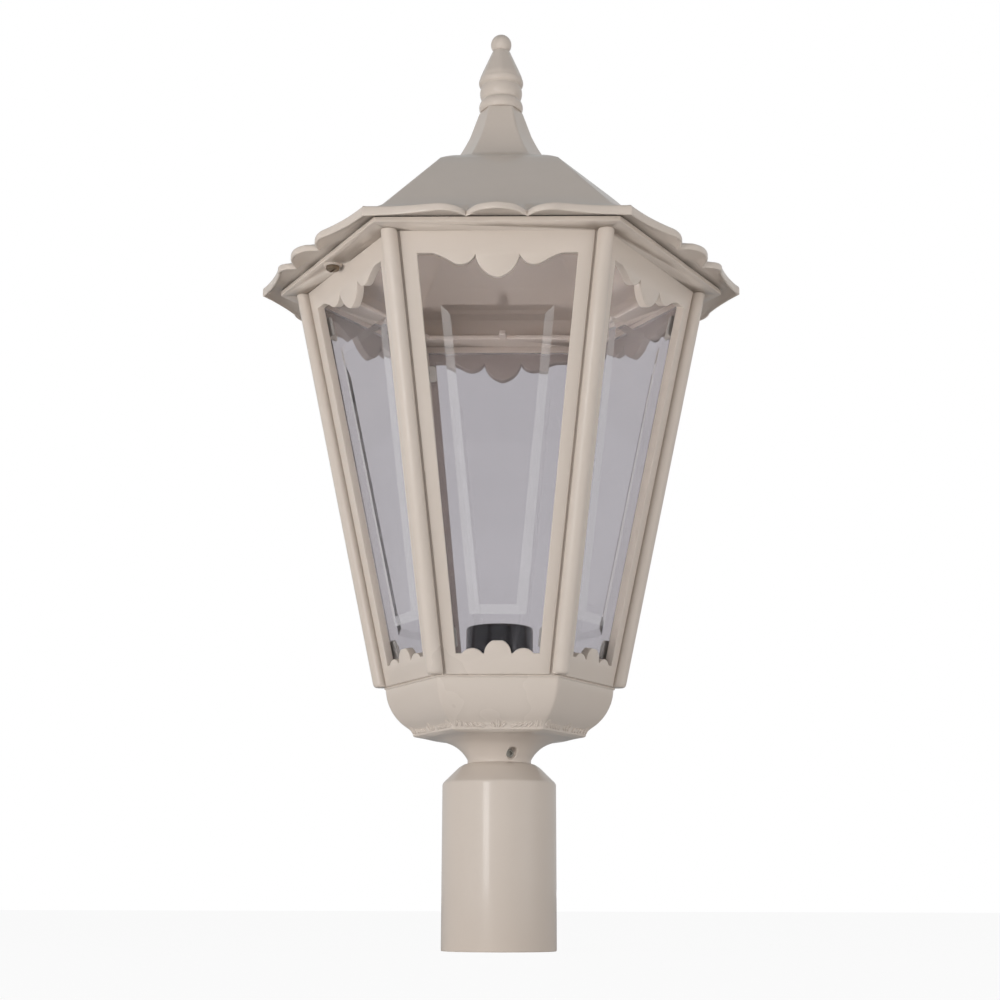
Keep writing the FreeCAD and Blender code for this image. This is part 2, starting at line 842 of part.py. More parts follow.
def make_flange():
    """Flat hexagonal ring on the cage, with screw bosses below and two inward ears."""
    plate = hex_prism(flange_radius, cage_top, flange_top)
    plate = plate.cut(hex_prism(flange_opening_radius, cage_top - past, flange_top + past))
    edge = flange_opening_radius * apothem_share
    ear = block(-ear_width / 2, ear_width / 2, -edge - ear_root, ear_length - edge,
                cage_top, flange_top)
    for angle in (0, 180):
        plate = plate.fuse(turned(ear, angle))
    boss_bottom = cage_top - roof_screw_boss_height
    for index in range(2):
        plate = plate.fuse(upright(roof_screw_boss_radius, boss_bottom, cage_top + past,
                                   roof_screw_place(index)))
    plate = plate.removeSplitter()
    for index in range(2):
        plate = plate.cut(upright(roof_screw_radius + hole_clearance, boss_bottom - past,
                                  flange_top + past, roof_screw_place(index)))
    hole = flange_screw_rod(small_screw_radius + thread_clearance)
    place = hole.BoundBox.Center
    sink = Part.makeCone(small_screw_radius, small_head_radius + countersink_room,
                         small_head_height + countersink_room,
                         Vector(place.x, place.y, flange_top - small_head_height - countersink_room))
    for cutter in ring_of(hole.fuse(sink), 6):
        plate = plate.cut(cutter)
    return plate


def make_gasket():
    outer = flange_radius - gasket_inset
    inner = outer - gasket_width / apothem_share
    high = flange_top + gasket_thickness
    ring = hex_prism(outer, flange_top, high)
    ring = ring.cut(hex_prism(inner, flange_top - past, high + past))
    for index in range(2):
        ring = ring.cut(upright(roof_screw_radius + hole_clearance, flange_top - past,
                                high + past, roof_screw_place(index)))
    return ring


def make_roof_screw(index):
    """Pan head screw from below, through the flange and up into the roof's brim."""
    place = roof_screw_place(index)
    seat = cage_top - roof_screw_boss_height - seat_gap
    bottom = seat - roof_screw_head_height
    shank = upright(roof_screw_radius, seat - past, seat + roof_screw_length, place)
    head = upright(roof_screw_head_radius, bottom, seat, place)
    reach = roof_screw_head_radius + past
    slot = block(place.x - driver_slot_width / 2, place.x + driver_slot_width / 2,
                 place.y - reach, place.y + reach, bottom - past, bottom + driver_slot_depth)
    return shank.fuse(head).cut(slot)


# ---- Roof ----

def scallop_wire(share, z):
    """Outline of the brim: one notch each side of a centre lobe, and a lobe at each corner."""
    edges = []
    corner = (brim_corner_half, scallop_corner)
    right = [corner, scallop_side_middle, scallop_crest, scallop_fall, scallop_notch]
    left = [(-across, proud) for across, proud in reversed(right)]
    squeeze = (flange_apothem + share * scallop_corner) / (flange_apothem + scallop_corner)
    for side in range(6):
        turn = Rotation(Vector(0, 0, 1), -sixth * side)
        points = []
        for across, proud in right + [(0.0, scallop_centre)] + left:
            out = flange_apothem + share * proud
            points.append(turn.multVec(Vector(across * squeeze, -out, z)))
        for start in range(0, len(points) - 1, 2):
            edges.append(Part.Arc(points[start], points[start + 1], points[start + 2]).toShape())
    return Part.Wire(edges)


def straight_outline(circumradius, z):
    """A hexagon cut into as many straight edges as the scalloped outline has arcs."""
    apothem = circumradius * apothem_share
    squeeze = apothem / (flange_apothem + scallop_corner)
    stations = (brim_corner_half, scallop_crest[0], scallop_notch[0],
                -scallop_notch[0], -scallop_crest[0])
    points = []
    for side in range(6):
        turn = Rotation(Vector(0, 0, 1), -sixth * side)
        for station in stations:
            points.append(turn.multVec(Vector(station * squeeze, -apothem, z)))
    return Part.makePolygon(points + [points[0]])


def make_brim():
    """Coved underside, beaded edge and a top that runs up into the roof's slopes."""
    foot = scallop_wire(brim_cove_share, roof_bottom)
    cove = scallop_wire(1.0, brim_cove_height)
    bead = scallop_wire(1.0, brim_bead_height)
    join = straight_outline(brim_join_radius, brim_join_height)
    lower = Part.makeLoft([foot, cove], True, True)
    middle = Part.makeLoft([cove, bead], True, True)
    upper = Part.makeLoft([bead, join], True, True)
    return lower.fuse(middle).fuse(upper)


def roof_cavity():
    """Hollow under the slopes, shoulder and neck."""
    slope = slope_rate / apothem_share
    inset = roof_wall * math.sqrt(1 + 1 / slope ** 2) / apothem_share
    foot = slope_foot_height + (slope_foot_radius - roof_inner_radius - inset) * slope_rate
    return hex_turned([
        (roof_inner_radius, roof_bottom - past),
        ((roof_inner_radius, foot),),
        ((slope_top_radius - slope_wall_width, slope_top_height - slope_wall_height),),
        ((flare_start_radius - shoulder_wall_width, flare_start_height - shoulder_wall_height),),
        ((flare_end_radius - neck_foot_wall, flare_end_height - neck_foot_drop),),
        ((roof_neck_radius - roof_wall, neck_ceiling),),
    ])


def make_roof():
    """Canopy casting, hollow from below, with holes for its screws and for the finial's stud."""
    outside = hex_turned([
        (brim_join_radius, roof_bottom),
        ((brim_join_radius, brim_join_height),),
        ((slope_top_radius, slope_top_height),),
        ((shoulder_end_radius, shoulder_end_height), shoulder_bulge),
        ((flare_start_radius, flare_start_height),),
        ((flare_end_radius, flare_end_height), -flare_hollow),
        ((roof_neck_radius, roof_neck_height),),
    ])
    body = outside.fuse(make_brim()).cut(roof_cavity())
    body = body.cut(Part.makeCylinder(stud_radius + thread_clearance, neck_top_wall + 2 * past,
                                      Vector(0, 0, neck_ceiling - past)))
    for index in range(2):
        body = body.cut(upright(roof_screw_radius + thread_clearance, roof_bottom - past,
                                cage_top + roof_screw_length, roof_screw_place(index)))
    return body


# ---- Finial ----

def make_finial():
    """Turned beads below, a faceted spire with an edge to the front, and a ball on top."""
    foot = roof_neck_height + seat_gap
    waist = foot + ring_height
    bead_top = waist + bead_height
    rim_top = bead_top + rim_height
    shoulder = rim_top + spire_shoulder_height
    spire_top = shoulder + spire_height
    beads = revolved([
        (0, foot),
        ((roof_neck_radius - finial_foot_inset, foot),),
        ((finial_waist_radius, waist), ring_bulge),
        ((bead_top_radius, bead_top), bead_bulge),
        ((rim_top_radius, rim_top), rim_bulge),
        ((0, rim_top),),
    ])
    sections = [polygon(spire_facets, spire_foot_radius, first_side_azimuth, rim_top - spire_root),
                polygon(spire_facets, spire_shoulder_radius, first_side_azimuth, shoulder),
                polygon(spire_facets, spire_top_radius, first_side_azimuth, spire_top)]
    spire = Part.makeLoft(sections, True, True)
    ball = Part.makeSphere(ball_radius, Vector(0, 0, spire_top + ball_rise))
    body = beads.fuse(spire).fuse(ball)
    return body.cut(Part.makeCylinder(stud_radius + thread_clearance, stud_bite + seat_gap,
                                      Vector(0, 0, foot)))


def make_stud():
    low = neck_ceiling - washer_thickness - nut_height - stud_tail
    return Part.makeCylinder(stud_radius, roof_neck_height + stud_bite - low, Vector(0, 0, low))


def make_stud_nut():
    low = neck_ceiling - washer_thickness - nut_height
    return hex_nut(nut_radius, stud_radius + thread_clearance, low, nut_height)


def make_stud_washer():
    return tube(washer_radius, stud_radius + thread_clearance,
                neck_ceiling - washer_thickness, neck_ceiling)


# ---- Lamp holder and wiring ----

def make_nipple():
    return tube(nipple_radius, nipple_bore, neck_bore_top - nipple_drop, holder_bottom + nipple_bite)


def make_strip():
    """Flat strip clamped on the nipple that carries the terminal block."""
    strip = block(-strip_short_end, strip_long_end, -strip_width / 2, strip_width / 2,
                  strip_bottom, strip_top)
    return strip.cut(Part.makeCylinder(nipple_radius + hole_clearance, strip_thickness + 2 * past,
                                       Vector(0, 0, strip_bottom - past)))


def make_holder_base():
    """Lower shell of the lamp holder, with a threaded entry and two lead holes."""
    shoulder = holder_bottom + holder_base_height
    entry_radius = nipple_radius + thread_clearance
    entry_top = holder_bottom + holder_entry_depth
    chamber_radius = holder_base_radius - holder_wall
    body = revolved([
        (entry_radius, holder_bottom),
        ((holder_base_radius, holder_bottom),),
        ((holder_base_radius, shoulder),),
        ((holder_radius, holder_skirt_bottom), holder_shoulder_bulge),
        ((core_radius + seat_gap, holder_skirt_bottom),),
        ((core_radius + seat_gap, core_bottom - seat_gap),),
        ((chamber_radius, core_bottom - seat_gap),),
        ((chamber_radius, entry_top),),
        ((entry_radius, entry_top),),
    ])
    for shift in (-lead_shift, lead_shift):
        start = Vector(chamber_radius - lead_bite, shift, lead_height)
        body = body.cut(Part.makeCylinder(lead_radius + hole_clearance,
                                          lead_bite + 2 * holder_wall + past, start, Vector(1, 0, 0)))
    return body


def make_holder_skirt():
    """Black outer shell with a rounded rim."""
    inner = holder_radius - holder_wall
    low = holder_skirt_bottom + seat_gap
    rim = holder_wall / 2
    return revolved([
        (inner, low),
        ((holder_radius, low),),
        ((holder_radius, holder_top - rim),),
        ((inner, holder_top - rim), rim),
    ])


def make_holder_core():
    """Insulating disc that carries the threaded shell, with a pocket for the centre contact."""
    disc = Part.makeCylinder(core_radius, core_thickness, Vector(0, 0, core_bottom))
    disc = disc.cut(Part.makeCylinder(core_pocket_radius, core_pocket_depth + past,
                                      Vector(0, 0, core_top - core_pocket_depth)))
    for shift in (-lead_shift, lead_shift):
        disc = disc.cut(Part.makeCylinder(lead_radius, core_thickness,
                                          Vector(core_lead_distance, shift, core_bottom - past)))
    return disc


def make_thread_shell():
    outer = shell_inner_radius + shell_thickness
    return tube(outer, shell_inner_radius, core_top, holder_top - shell_top_drop)


def make_centre_contact():
    """Sprung tongue in the core's pocket that the lamp's tip presses."""
    seat = core_top - core_pocket_depth
    tongue = seat + contact_rise
    half = contact_half_width
    flat = block(-contact_reach, contact_fold, -half, half, seat, seat + contact_thickness)
    riser = block(contact_fold - contact_thickness, contact_fold, -half, half, seat, tongue)
    tip = block(-contact_fold, contact_fold, -half, half, tongue, tongue + contact_thickness)
    return flat.fuse(riser).fuse(tip).removeSplitter()


def terminal_poles_y():
    middle = (terminal_poles - 1) / 2
    return [(pole - middle) * terminal_pitch for pole in range(terminal_poles)]


def terminal_screw_places():
    """Two screws for each pole, near the block's two ends."""
    ends = (terminal_low_x + terminal_screw_inset, terminal_high_x - terminal_screw_inset)
    return [Vector(x, y, 0) for y in terminal_poles_y() for x in ends]


def make_terminal_block():
    """Block with a wire entry along each pole and a screw well near each end."""
    half = terminal_width / 2
    top = strip_top + terminal_height
    body = block(terminal_low_x, terminal_high_x, -half, half, strip_top, top)
    for y in terminal_poles_y():
        start = Vector(terminal_low_x - past, y, strip_top + terminal_wire_rise)
        body = body.cut(Part.makeCylinder(lead_radius + hole_clearance,
                                          terminal_length + 2 * past, start, Vector(1, 0, 0)))
    for place in terminal_screw_places():
        body = body.cut(upright(terminal_screw_radius + thread_clearance,
                                top - terminal_well_depth, top + past, place))
    return body


def make_terminal_screws():
    top = strip_top + terminal_height + terminal_screw_stand
    screws = []
    for place in terminal_screw_places():
        screws.append(upright(terminal_screw_radius, top - terminal_well_depth, top, place))
    return Part.makeCompound(screws)


def make_leads():
    """Two short leads from the terminal block up into the lamp holder."""
    wire_height = strip_top + terminal_wire_rise
    leads = []
    for side in (-1, 1):
        y = side * terminal_pitch
        leads.append(bent_wire([
            Vector(terminal_low_x + lead_bite, y, wire_height),
            Vector(terminal_low_x - lead_bend_out, y, wire_height),
            Vector(holder_base_radius + lead_reach_out, side * lead_shift, lead_height),
            Vector(holder_base_radius - lead_reach_in, side * lead_shift, lead_height),
        ]))
    return Part.makeCompound(leads)


def bent_wire(points):
    """Round wire along straight runs with ball ends at the bends."""
    wire = Part.makeSphere(lead_radius, points[1])
    for point in points[2:-1]:
        wire = wire.fuse(Part.makeSphere(lead_radius, point))
    for first, second in zip(points, points[1:]):
        run = second - first
        wire = wire.fuse(Part.makeCylinder(lead_radius, run.Length, first, run))
    return wire


def make_earth_screw():
    seat = bowl_floor + earth_boss_height + seat_gap
    place = Vector(-earth_boss_distance, 0, 0)
    shank = upright(small_screw_radius, seat - earth_screw_length, seat, place)
    head = upright(earth_head_radius, seat, seat + earth_head_height, place)
    return shank.fuse(head)


# ---- Nodes ----

def all_nodes():
    tapped = nipple_radius + thread_clearance
    nodes = {
        "post_collar": make_collar(),
        "collar_screw_right": make_collar_screw(0),
        "collar_screw_left": make_collar_screw(180),
        "neck_screw": make_neck_screw(),
        "base_bowl": make_bowl(),
        "rail_screws": make_rail_screws(),
        "corner_clamps": make_clamps(),
        "clamp_screws": make_clamp_screws(),
        "top_flange": make_flange(),
        "flange_screws": make_flange_screws(),
        "roof_gasket": make_gasket(),
        "roof_screw_front": make_roof_screw(0),
        "roof_screw_back": make_roof_screw(1),
        "roof_canopy": make_roof(),
        "finial": make_finial(),
        "finial_stud": make_stud(),
        "finial_nut": make_stud_nut(),
        "finial_washer": make_stud_washer(),
        "cable_nipple": make_nipple(),
        "floor_lock_nut": hex_nut(lock_nut_radius, tapped, bowl_floor, lock_nut_height),
        "wiring_strip": make_strip(),
        "strip_lock_nut": hex_nut(lock_nut_radius, tapped, strip_top, thin_nut_height),
        "lampholder_base": make_holder_base(),
        "lampholder_skirt": make_holder_skirt(),
        "lampholder_core": make_holder_core(),
        "lampholder_thread": make_thread_shell(),
        "lampholder_contact": make_centre_contact(),
        "terminal_block": make_terminal_block(),
        "terminal_screws": make_terminal_screws(),
        "lampholder_leads": make_leads(),
        "earth_screw": make_earth_screw(),
    }
    frame = make_side_frame()
    pane = make_pane()
    post = make_corner_post()
    for index in range(6):
        angle = sixth * index
        nodes["side_frame_" + side_names[index]] = turned(frame, angle)
        nodes["glass_pane_" + side_names[index]] = turned(pane, angle)
        nodes["corner_post_" + corner_names[index]] = turned(post, angle)
    return nodes


os.makedirs("parts", exist_ok=True)
for name, shape in all_nodes().items():
    if not shape.isValid():
        print("not valid:", name)
    print(name, "solids", len(shape.Solids), "volume", round(shape.Volume, 1))
    shape.exportStep("parts/" + name + ".step")
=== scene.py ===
"""Post top lantern: six glazed sides leaning out under a scalloped roof, on a collar for a round post."""
import bpy, bmesh, math
from mathutils import Matrix, Vector


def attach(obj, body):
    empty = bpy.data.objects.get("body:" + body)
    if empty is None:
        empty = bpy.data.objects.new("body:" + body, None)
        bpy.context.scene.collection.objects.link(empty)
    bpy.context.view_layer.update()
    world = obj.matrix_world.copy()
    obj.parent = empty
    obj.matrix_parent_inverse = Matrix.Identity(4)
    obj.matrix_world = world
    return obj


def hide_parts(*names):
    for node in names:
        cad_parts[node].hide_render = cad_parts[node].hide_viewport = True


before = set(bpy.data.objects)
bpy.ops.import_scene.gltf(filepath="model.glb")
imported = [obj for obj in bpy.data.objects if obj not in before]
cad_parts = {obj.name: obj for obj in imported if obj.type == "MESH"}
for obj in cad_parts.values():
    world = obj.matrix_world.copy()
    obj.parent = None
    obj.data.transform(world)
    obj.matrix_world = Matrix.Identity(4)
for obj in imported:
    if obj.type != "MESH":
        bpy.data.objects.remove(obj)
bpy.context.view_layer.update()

# ---- Post collar ----------------------------------------------------------------------------------
# Turned aluminium tube that slips over the post. Its chamfered shoulder ends in a spigot, on which the
# head turns. Primed and sprayed with cream gloss enamel, as every casting of the lantern is.

MM = 0.001
AROUND = 144          # points round each ring, 24 to a side of the hexagon
PINHOLE = 0.001       # radius left where a turned skin closes on its axis


def srgb(red, green, blue):
    """Colour as a paint chart gives it, turned into the light values that a shader takes."""
    return tuple((value / 255 / 12.92) if value < 10.4 else ((value / 255 + 0.055) / 1.055) ** 2.4
                 for value in (red, green, blue)) + (1.0,)


def wire_up(tree, *links):
    """Joins sockets, each given as (node, output name, node, input name)."""
    for start, out, end, into in links:
        tree.links.new(start.outputs[out], end.inputs[into])


def effect_group(name, inputs, outputs):
    """Empty shader node group with named sockets, and its two ends."""
    group = bpy.data.node_groups.new(name, "ShaderNodeTree")
    for side, sockets in (("INPUT", inputs), ("OUTPUT", outputs)):
        for label, kind, *value in sockets:
            socket = group.interface.new_socket(name=label, in_out=side, socket_type="NodeSocket" + kind)
            if value:
                socket.default_value = value[0]
    return group, group.nodes.new("NodeGroupInput"), group.nodes.new("NodeGroupOutput")


def make_surface_effect():
    """Soft colour drift, settled dust and a fine skin: what a finish shows when looked at closely."""
    group, given, result = effect_group("aged_surface", [
        ("Colour", "Color"), ("Drift Colour", "Color"), ("Drift Scale", "Float", 14.0),
        ("Dust Colour", "Color"), ("Dust", "Float", 0.2), ("Skin Scale", "Float", 900.0),
        ("Skin Height", "Float", 0.02), ("Smoothest", "Float", 0.18), ("Roughest", "Float", 0.3),
    ], [("Colour", "Color"), ("Roughness", "Float"), ("Normal", "Vector")])
    new = group.nodes.new
    place, drift, dust, skin = new("ShaderNodeTexCoord"), new("ShaderNodeTexNoise"), \
        new("ShaderNodeTexNoise"), new("ShaderNodeTexNoise")
    shape, up, facing = new("ShaderNodeNewGeometry"), new("ShaderNodeSeparateXYZ"), new("ShaderNodeMapRange")
    spread, settled, amount = new("ShaderNodeMapRange"), new("ShaderNodeMath"), new("ShaderNodeMath")
    mottle, powder, rough, bump = new("ShaderNodeMix"), new("ShaderNodeMix"), new("ShaderNodeMapRange"), \
        new("ShaderNodeBump")
    drift.inputs["Detail"].default_value = 4.0
    dust.inputs["Scale"].default_value = 55.0
    dust.inputs["Detail"].default_value = 6.0
    skin.inputs["Detail"].default_value = 2.0
    for node in (mottle, powder):
        node.data_type = "RGBA"
    for node, low, high in ((spread, 0.35, 0.75), (facing, 0.25, 1.0)):
        node.inputs["From Min"].default_value, node.inputs["From Max"].default_value = low, high
    settled.operation = amount.operation = "MULTIPLY"
    bump.inputs["Distance"].default_value = 0.0004
    links = group.links.new
    for node in (drift, dust, skin):
        links(place.outputs["Object"], node.inputs["Vector"])
    wire_up(group, (given, "Drift Scale", drift, "Scale"), (given, "Skin Scale", skin, "Scale"),
            (shape, "Normal", up, "Vector"), (up, "Z", facing, "Value"), (dust, "Fac", spread, "Value"),
            (given, "Skin Height", bump, "Strength"), (skin, "Fac", bump, "Height"),
            (drift, "Fac", rough, "Value"), (given, "Smoothest", rough, "To Min"),
            (given, "Roughest", rough, "To Max"), (rough, "Result", result, "Roughness"),
            (bump, "Normal", result, "Normal"))
    links(facing.outputs["Result"], settled.inputs[0])
    links(spread.outputs["Result"], settled.inputs[1])
    links(settled.outputs[0], amount.inputs[0])
    links(given.outputs["Dust"], amount.inputs[1])
    links(drift.outputs["Fac"], mottle.inputs["Factor"])
    links(given.outputs["Colour"], mottle.inputs["A"])
    links(given.outputs["Drift Colour"], mottle.inputs["B"])
    links(amount.outputs[0], powder.inputs["Factor"])
    links(mottle.outputs["Result"], powder.inputs["A"])
    links(given.outputs["Dust Colour"], powder.inputs["B"])
    links(powder.outputs["Result"], result.inputs["Colour"])
    return group


aged_surface = make_surface_effect()


def finish(name, colour, drift_colour, metallic=0.0, coat=0.0, specular=0.5, **effect):
    """Principled material with the aged surface over it; effect holds the group's own values."""
    material = bpy.data.materials.new(name)
    material.use_nodes = True
    tree = material.node_tree
    shader = tree.nodes["Principled BSDF"]
    group = tree.nodes.new("ShaderNodeGroup")
    group.node_tree = aged_surface
    group.inputs["Colour"].default_value = colour
    group.inputs["Drift Colour"].default_value = drift_colour
    group.inputs["Dust Colour"].default_value = srgb(168, 158, 142)
    for label, value in effect.items():
        group.inputs[label.replace("_", " ").title()].default_value = value
    shader.inputs["Metallic"].default_value = metallic
    shader.inputs["Specular IOR Level"].default_value = specular
    shader.inputs["Coat Weight"].default_value = coat
    shader.inputs["Coat Roughness"].default_value = 0.08
    wire_up(tree, (group, "Colour", shader, "Base Color"), (group, "Roughness", shader, "Roughness"),
            (group, "Normal", shader, "Normal"))
    return material


cream_enamel = finish("cream_enamel", srgb(208, 197, 187), srgb(200, 187, 175), coat=0.35,
                      drift_scale=9.0, dust=0.10, skin_scale=420.0, skin_height=0.05,
                      smoothest=0.24, roughest=0.34)


def piece_of(name, points, faces, material, sharp=30.0):
    """Mesh object at the origin, smooth but for edges sharper than an angle."""
    mesh = bpy.data.meshes.new(name)
    mesh.from_pydata([tuple(point) for point in points], [], faces)
    mesh.materials.append(material)
    mesh.update()
    mesh.polygons.foreach_set("use_smooth", [True] * len(mesh.polygons))
    mesh.set_sharp_from_angle(angle=math.radians(sharp))
    piece = bpy.data.objects.new(name, mesh)
    bpy.context.scene.collection.objects.link(piece)
    return piece


def skin(rings, closed=False):
    """Points and faces of a surface over rings of equal count; closed joins the last to the first."""
    count = len(rings[0])
    points = [point for ring in rings for point in ring]
    faces = []
    for low in range(len(rings) if closed else len(rings) - 1):
        high = (low + 1) % len(rings)
        for index in range(count):
            after = (index + 1) % count
            faces.append((low * count + index, low * count + after,
                          high * count + after, high * count + index))
    return points, faces


def eased(corners, steps=4):
    """Outline whose corners, given as (radius, z, rounding), are rounded off as a tool leaves them."""
    outline = []
    for index, (radius, z, rounding) in enumerate(corners):
        here = Vector((radius, z))
        before = Vector(corners[index - 1][:2]) if index else here
        after = Vector(corners[index + 1][:2]) if index + 1 < len(corners) else here
        if rounding <= 0 or before == here or after == here:
            outline.append((radius, z))
            continue
        start = here + (before - here).normalized() * rounding
        end = here + (after - here).normalized() * rounding
        for step in range(steps + 1):
            share = step / steps
            point = (1 - share) ** 2 * start + 2 * share * (1 - share) * here + share ** 2 * end
            outline.append((point.x, point.y))
    return outline


def circle(radius, z, count=AROUND):
    """Ring of points in metres from millimetres, starting half a side before the front."""
    ring = []
    for index in range(count):
        angle = math.tau * index / count - math.tau / 3
        ring.append(Vector((radius * math.cos(angle), radius * math.sin(angle), z)) * MM)
    return ring


def settle(piece, body, slot_name, *nodes):
    """Turns a finished piece's faces outwards, ties it to its body and hides the CAD nodes it replaces;
    slot_name is not used.
    """
    work = bmesh.new()
    work.from_mesh(piece.data)
    bmesh.ops.recalc_face_normals(work, faces=work.faces)
    work.to_mesh(piece.data)
    work.free()
    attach(piece, body)
    if nodes:
        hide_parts(*nodes)


def radial_turn(azimuth, z, distance=0.0):
    """Placement that lays +Z along a horizontal radius, at a height and distance in millimetres."""
    out = Matrix.Rotation(math.radians(azimuth), 4, "Z")
    return out @ Matrix.Translation((distance * MM, 0, z * MM)) @ Matrix.Rotation(math.pi / 2, 4, "Y")


def drill(piece, holes, sides=48):
    """Cuts round holes, each given as (placement, radius, depth below and above it) in millimetres."""
    for place, radius, low, high in holes:
        rings = [circle(radius, low, sides), circle(radius, high, sides)]
        points, faces = skin(rings)
        faces += [tuple(range(sides)), tuple(range(sides, 2 * sides))]
        cutter = piece_of("cutter", [place @ point for point in points], faces, piece.data.materials[0])
        work = bmesh.new()
        work.from_mesh(cutter.data)
        bmesh.ops.recalc_face_normals(work, faces=work.faces)
        work.to_mesh(cutter.data)
        work.free()
        cut = piece.modifiers.new("hole", "BOOLEAN")
        cut.object, cut.operation, cut.solver = cutter, "DIFFERENCE", "EXACT"
        shaped = bpy.data.meshes.new_from_object(piece.evaluated_get(bpy.context.evaluated_depsgraph_get()))
        piece.modifiers.remove(cut)
        piece.data = shaped
        bpy.data.objects.remove(cutter)


collar_radius, socket_radius, grip_screw_height = 33.5, 30.5, 32.0
spigot_radius, groove_radius = 12.5, 11.3
collar_section = eased([
    (socket_radius, 0, 0), (33.1, 0, 0), (collar_radius, 0.4, 0.3), (collar_radius, 95.3, 1.2),
    (24.0, 104.6, 0.8), (21.0, 106.5, 0.6), (spigot_radius, 106.5, 0), (spigot_radius, 108.8, 0),
    (groove_radius, 108.8, 0), (groove_radius, 115.2, 0), (spigot_radius, 115.2, 0),
    (spigot_radius, 126.0, 0.4), (7.0, 126.0, 0.4), (7.0, 88.0, 0), (socket_radius, 88.0, 0)])
collar = piece_of("post_collar_enamelled", *skin([circle(r, z) for r, z in collar_section], closed=True),
                  cream_enamel)
drill(collar, [(radial_turn(side, grip_screw_height), 3.05, 28.0, 36.0) for side in (0, 180)])
settle(collar, "collar", "body_paint", "post_collar")

# ---- Set screws -----------------------------------------------------------------------------------
# Three zinc plated socket screws: two in the collar grip the post, and one sunk in the head's neck holds
# it by the groove in the spigot. Slackened, it lets the head turn to face the road.

zinc_plate = finish("zinc_plate", srgb(190, 188, 182), srgb(166, 163, 154), metallic=1.0, drift_scale=60.0,
                    dust=0.15, skin_scale=1500.0, skin_height=0.12, smoothest=0.26, roughest=0.45)


def facet_ring(sides, flat_radius, z, count):
    """Ring of points on a regular polygon, such as the wall of a key socket."""
    ring = []
    for index in range(count):
        angle = math.tau * index / count
        within = (angle + math.pi / sides) % (math.tau / sides) - math.pi / sides
        reach = flat_radius / math.cos(within)
        ring.append(Vector((reach * math.cos(angle), reach * math.sin(angle), z)) * MM)
    return ring


def plain_ring(radius, z, count):
    """Ring of points on a circle that starts on the X axis."""
    return [Vector((radius * math.cos(math.tau * index / count),
                    radius * math.sin(math.tau * index / count), z)) * MM for index in range(count)]


def set_screw(name, place, radius, length, body, node):
    """Chamfered screw with thread crests and a six-sided key socket in its outer end."""
    count = 36
    rings = [plain_ring(PINHOLE, 0, count), plain_ring(radius - 0.5, 0, count),
             plain_ring(radius, 0.5, count)]
    crest = 0.5
    z = 0.8
    while z < length - 0.9:
        rings += [plain_ring(radius, z, count), plain_ring(radius - 0.22, z + crest / 2, count)]
        z += crest
    rings += [plain_ring(radius, length - 0.35, count), plain_ring(radius - 0.35, length, count),
              facet_ring(6, 1.3, length, count), facet_ring(6, 1.25, length - 1.9, count),
              plain_ring(PINHOLE, length - 2.0, count)]
    points, faces = skin(rings)
    settle(piece_of(name, [place @ point for point in points], faces, zinc_plate), body, "zinc_steel", node)


grip_screw_reach = 30.7
neck_screw_turn, neck_screw_height = -68.0, 112.0
for side, azimuth in (("right", 0), ("left", 180)):
    set_screw("collar_grip_screw_" + side, radial_turn(azimuth, grip_screw_height, grip_screw_reach), 3.0,
              2.6, "collar_screw_" + side, "collar_screw_" + side)
set_screw("neck_holding_screw", radial_turn(neck_screw_turn, neck_screw_height, 11.5), 2.5, 5.7, "neck_screw",
          "neck_screw")

# ---- Base bowl ------------------------------------------------------------------------------------
# Sand cast aluminium: a round neck that flares out to a hexagonal dish, cored out above for the wiring
# and below for the spigot. Six lugs stand inside its rim, and a band of small cast leaves runs round
# the dish just above its lip.


def hex_ring(circumradius, z, rounding=0.8, count=AROUND):
    """Ring of points on a hexagon with a flat to the front and slightly rounded corners."""
    ring = []
    per_side = count // 6
    apothem = circumradius * math.cos(math.pi / 6)
    half = circumradius / 2
    spread = min(rounding, half * 0.9)
    for side in range(6):
        turn = Matrix.Rotation(math.pi / 3 * side, 3, "Z")
        for index in range(per_side):
            share = 2 * index / per_side - 1
            # the last eighth at each end runs round the corner
            across = math.copysign(min(abs(share) / 0.875, 1.0) * (half - spread), share)
            past = max(abs(share) - 0.875, 0.0) / 0.125
            across += math.copysign(past * spread * 0.93, share)
            inward = past ** 2 * spread * 0.24
            ring.append(turn @ Vector((across, inward - apothem, z)) * MM)
    return ring


def blend_rings(first, second, share):
    """Ring between two rings, at a share of the way."""
    return [a.lerp(b, share) for a, b in zip(first, second)]


def arc_outline(start, end, bulge, steps):
    """Points along an arc from start to end that stands out by bulge to the right of its chord."""
    a, b = Vector(start), Vector(end)
    chord = b - a
    normal = Vector((chord.y, -chord.x)).normalized()
    half = chord.length / 2
    radius = (half * half + bulge * bulge) / (2 * bulge)
    centre = (a + b) / 2 + normal * (bulge - radius)
    sweep = 2 * math.asin(half / abs(radius))
    outline = []
    for step in range(steps + 1):
        angle = sweep * (step / steps - 0.5)
        direction = normal * math.copysign(1, radius)
        spun = Vector((direction.x * math.cos(angle) - direction.y * math.sin(angle),
                       direction.x * math.sin(angle) + direction.y * math.cos(angle)))
        outline.append(centre + spun * abs(radius))
    if (outline[0] - a).length > (outline[-1] - a).length:
        outline.reverse()
    return [(point.x, point.y) for point in outline]


def joined(*skins):
    """Points and faces of several closed skins that make one casting."""
    points, faces = [], []
    for some_points, some_faces in skins:
        faces += [tuple(index + len(points) for index in face) for face in some_faces]
        points += list(some_points)
    return points, faces


def cast_together(piece, *others):
    """Adds the meshes of other pieces to a piece and takes those away."""
    work = bmesh.new()
    work.from_mesh(piece.data)
    for other in others:
        work.from_mesh(other.data)
        bpy.data.objects.remove(other)
    work.to_mesh(piece.data)
    work.free()


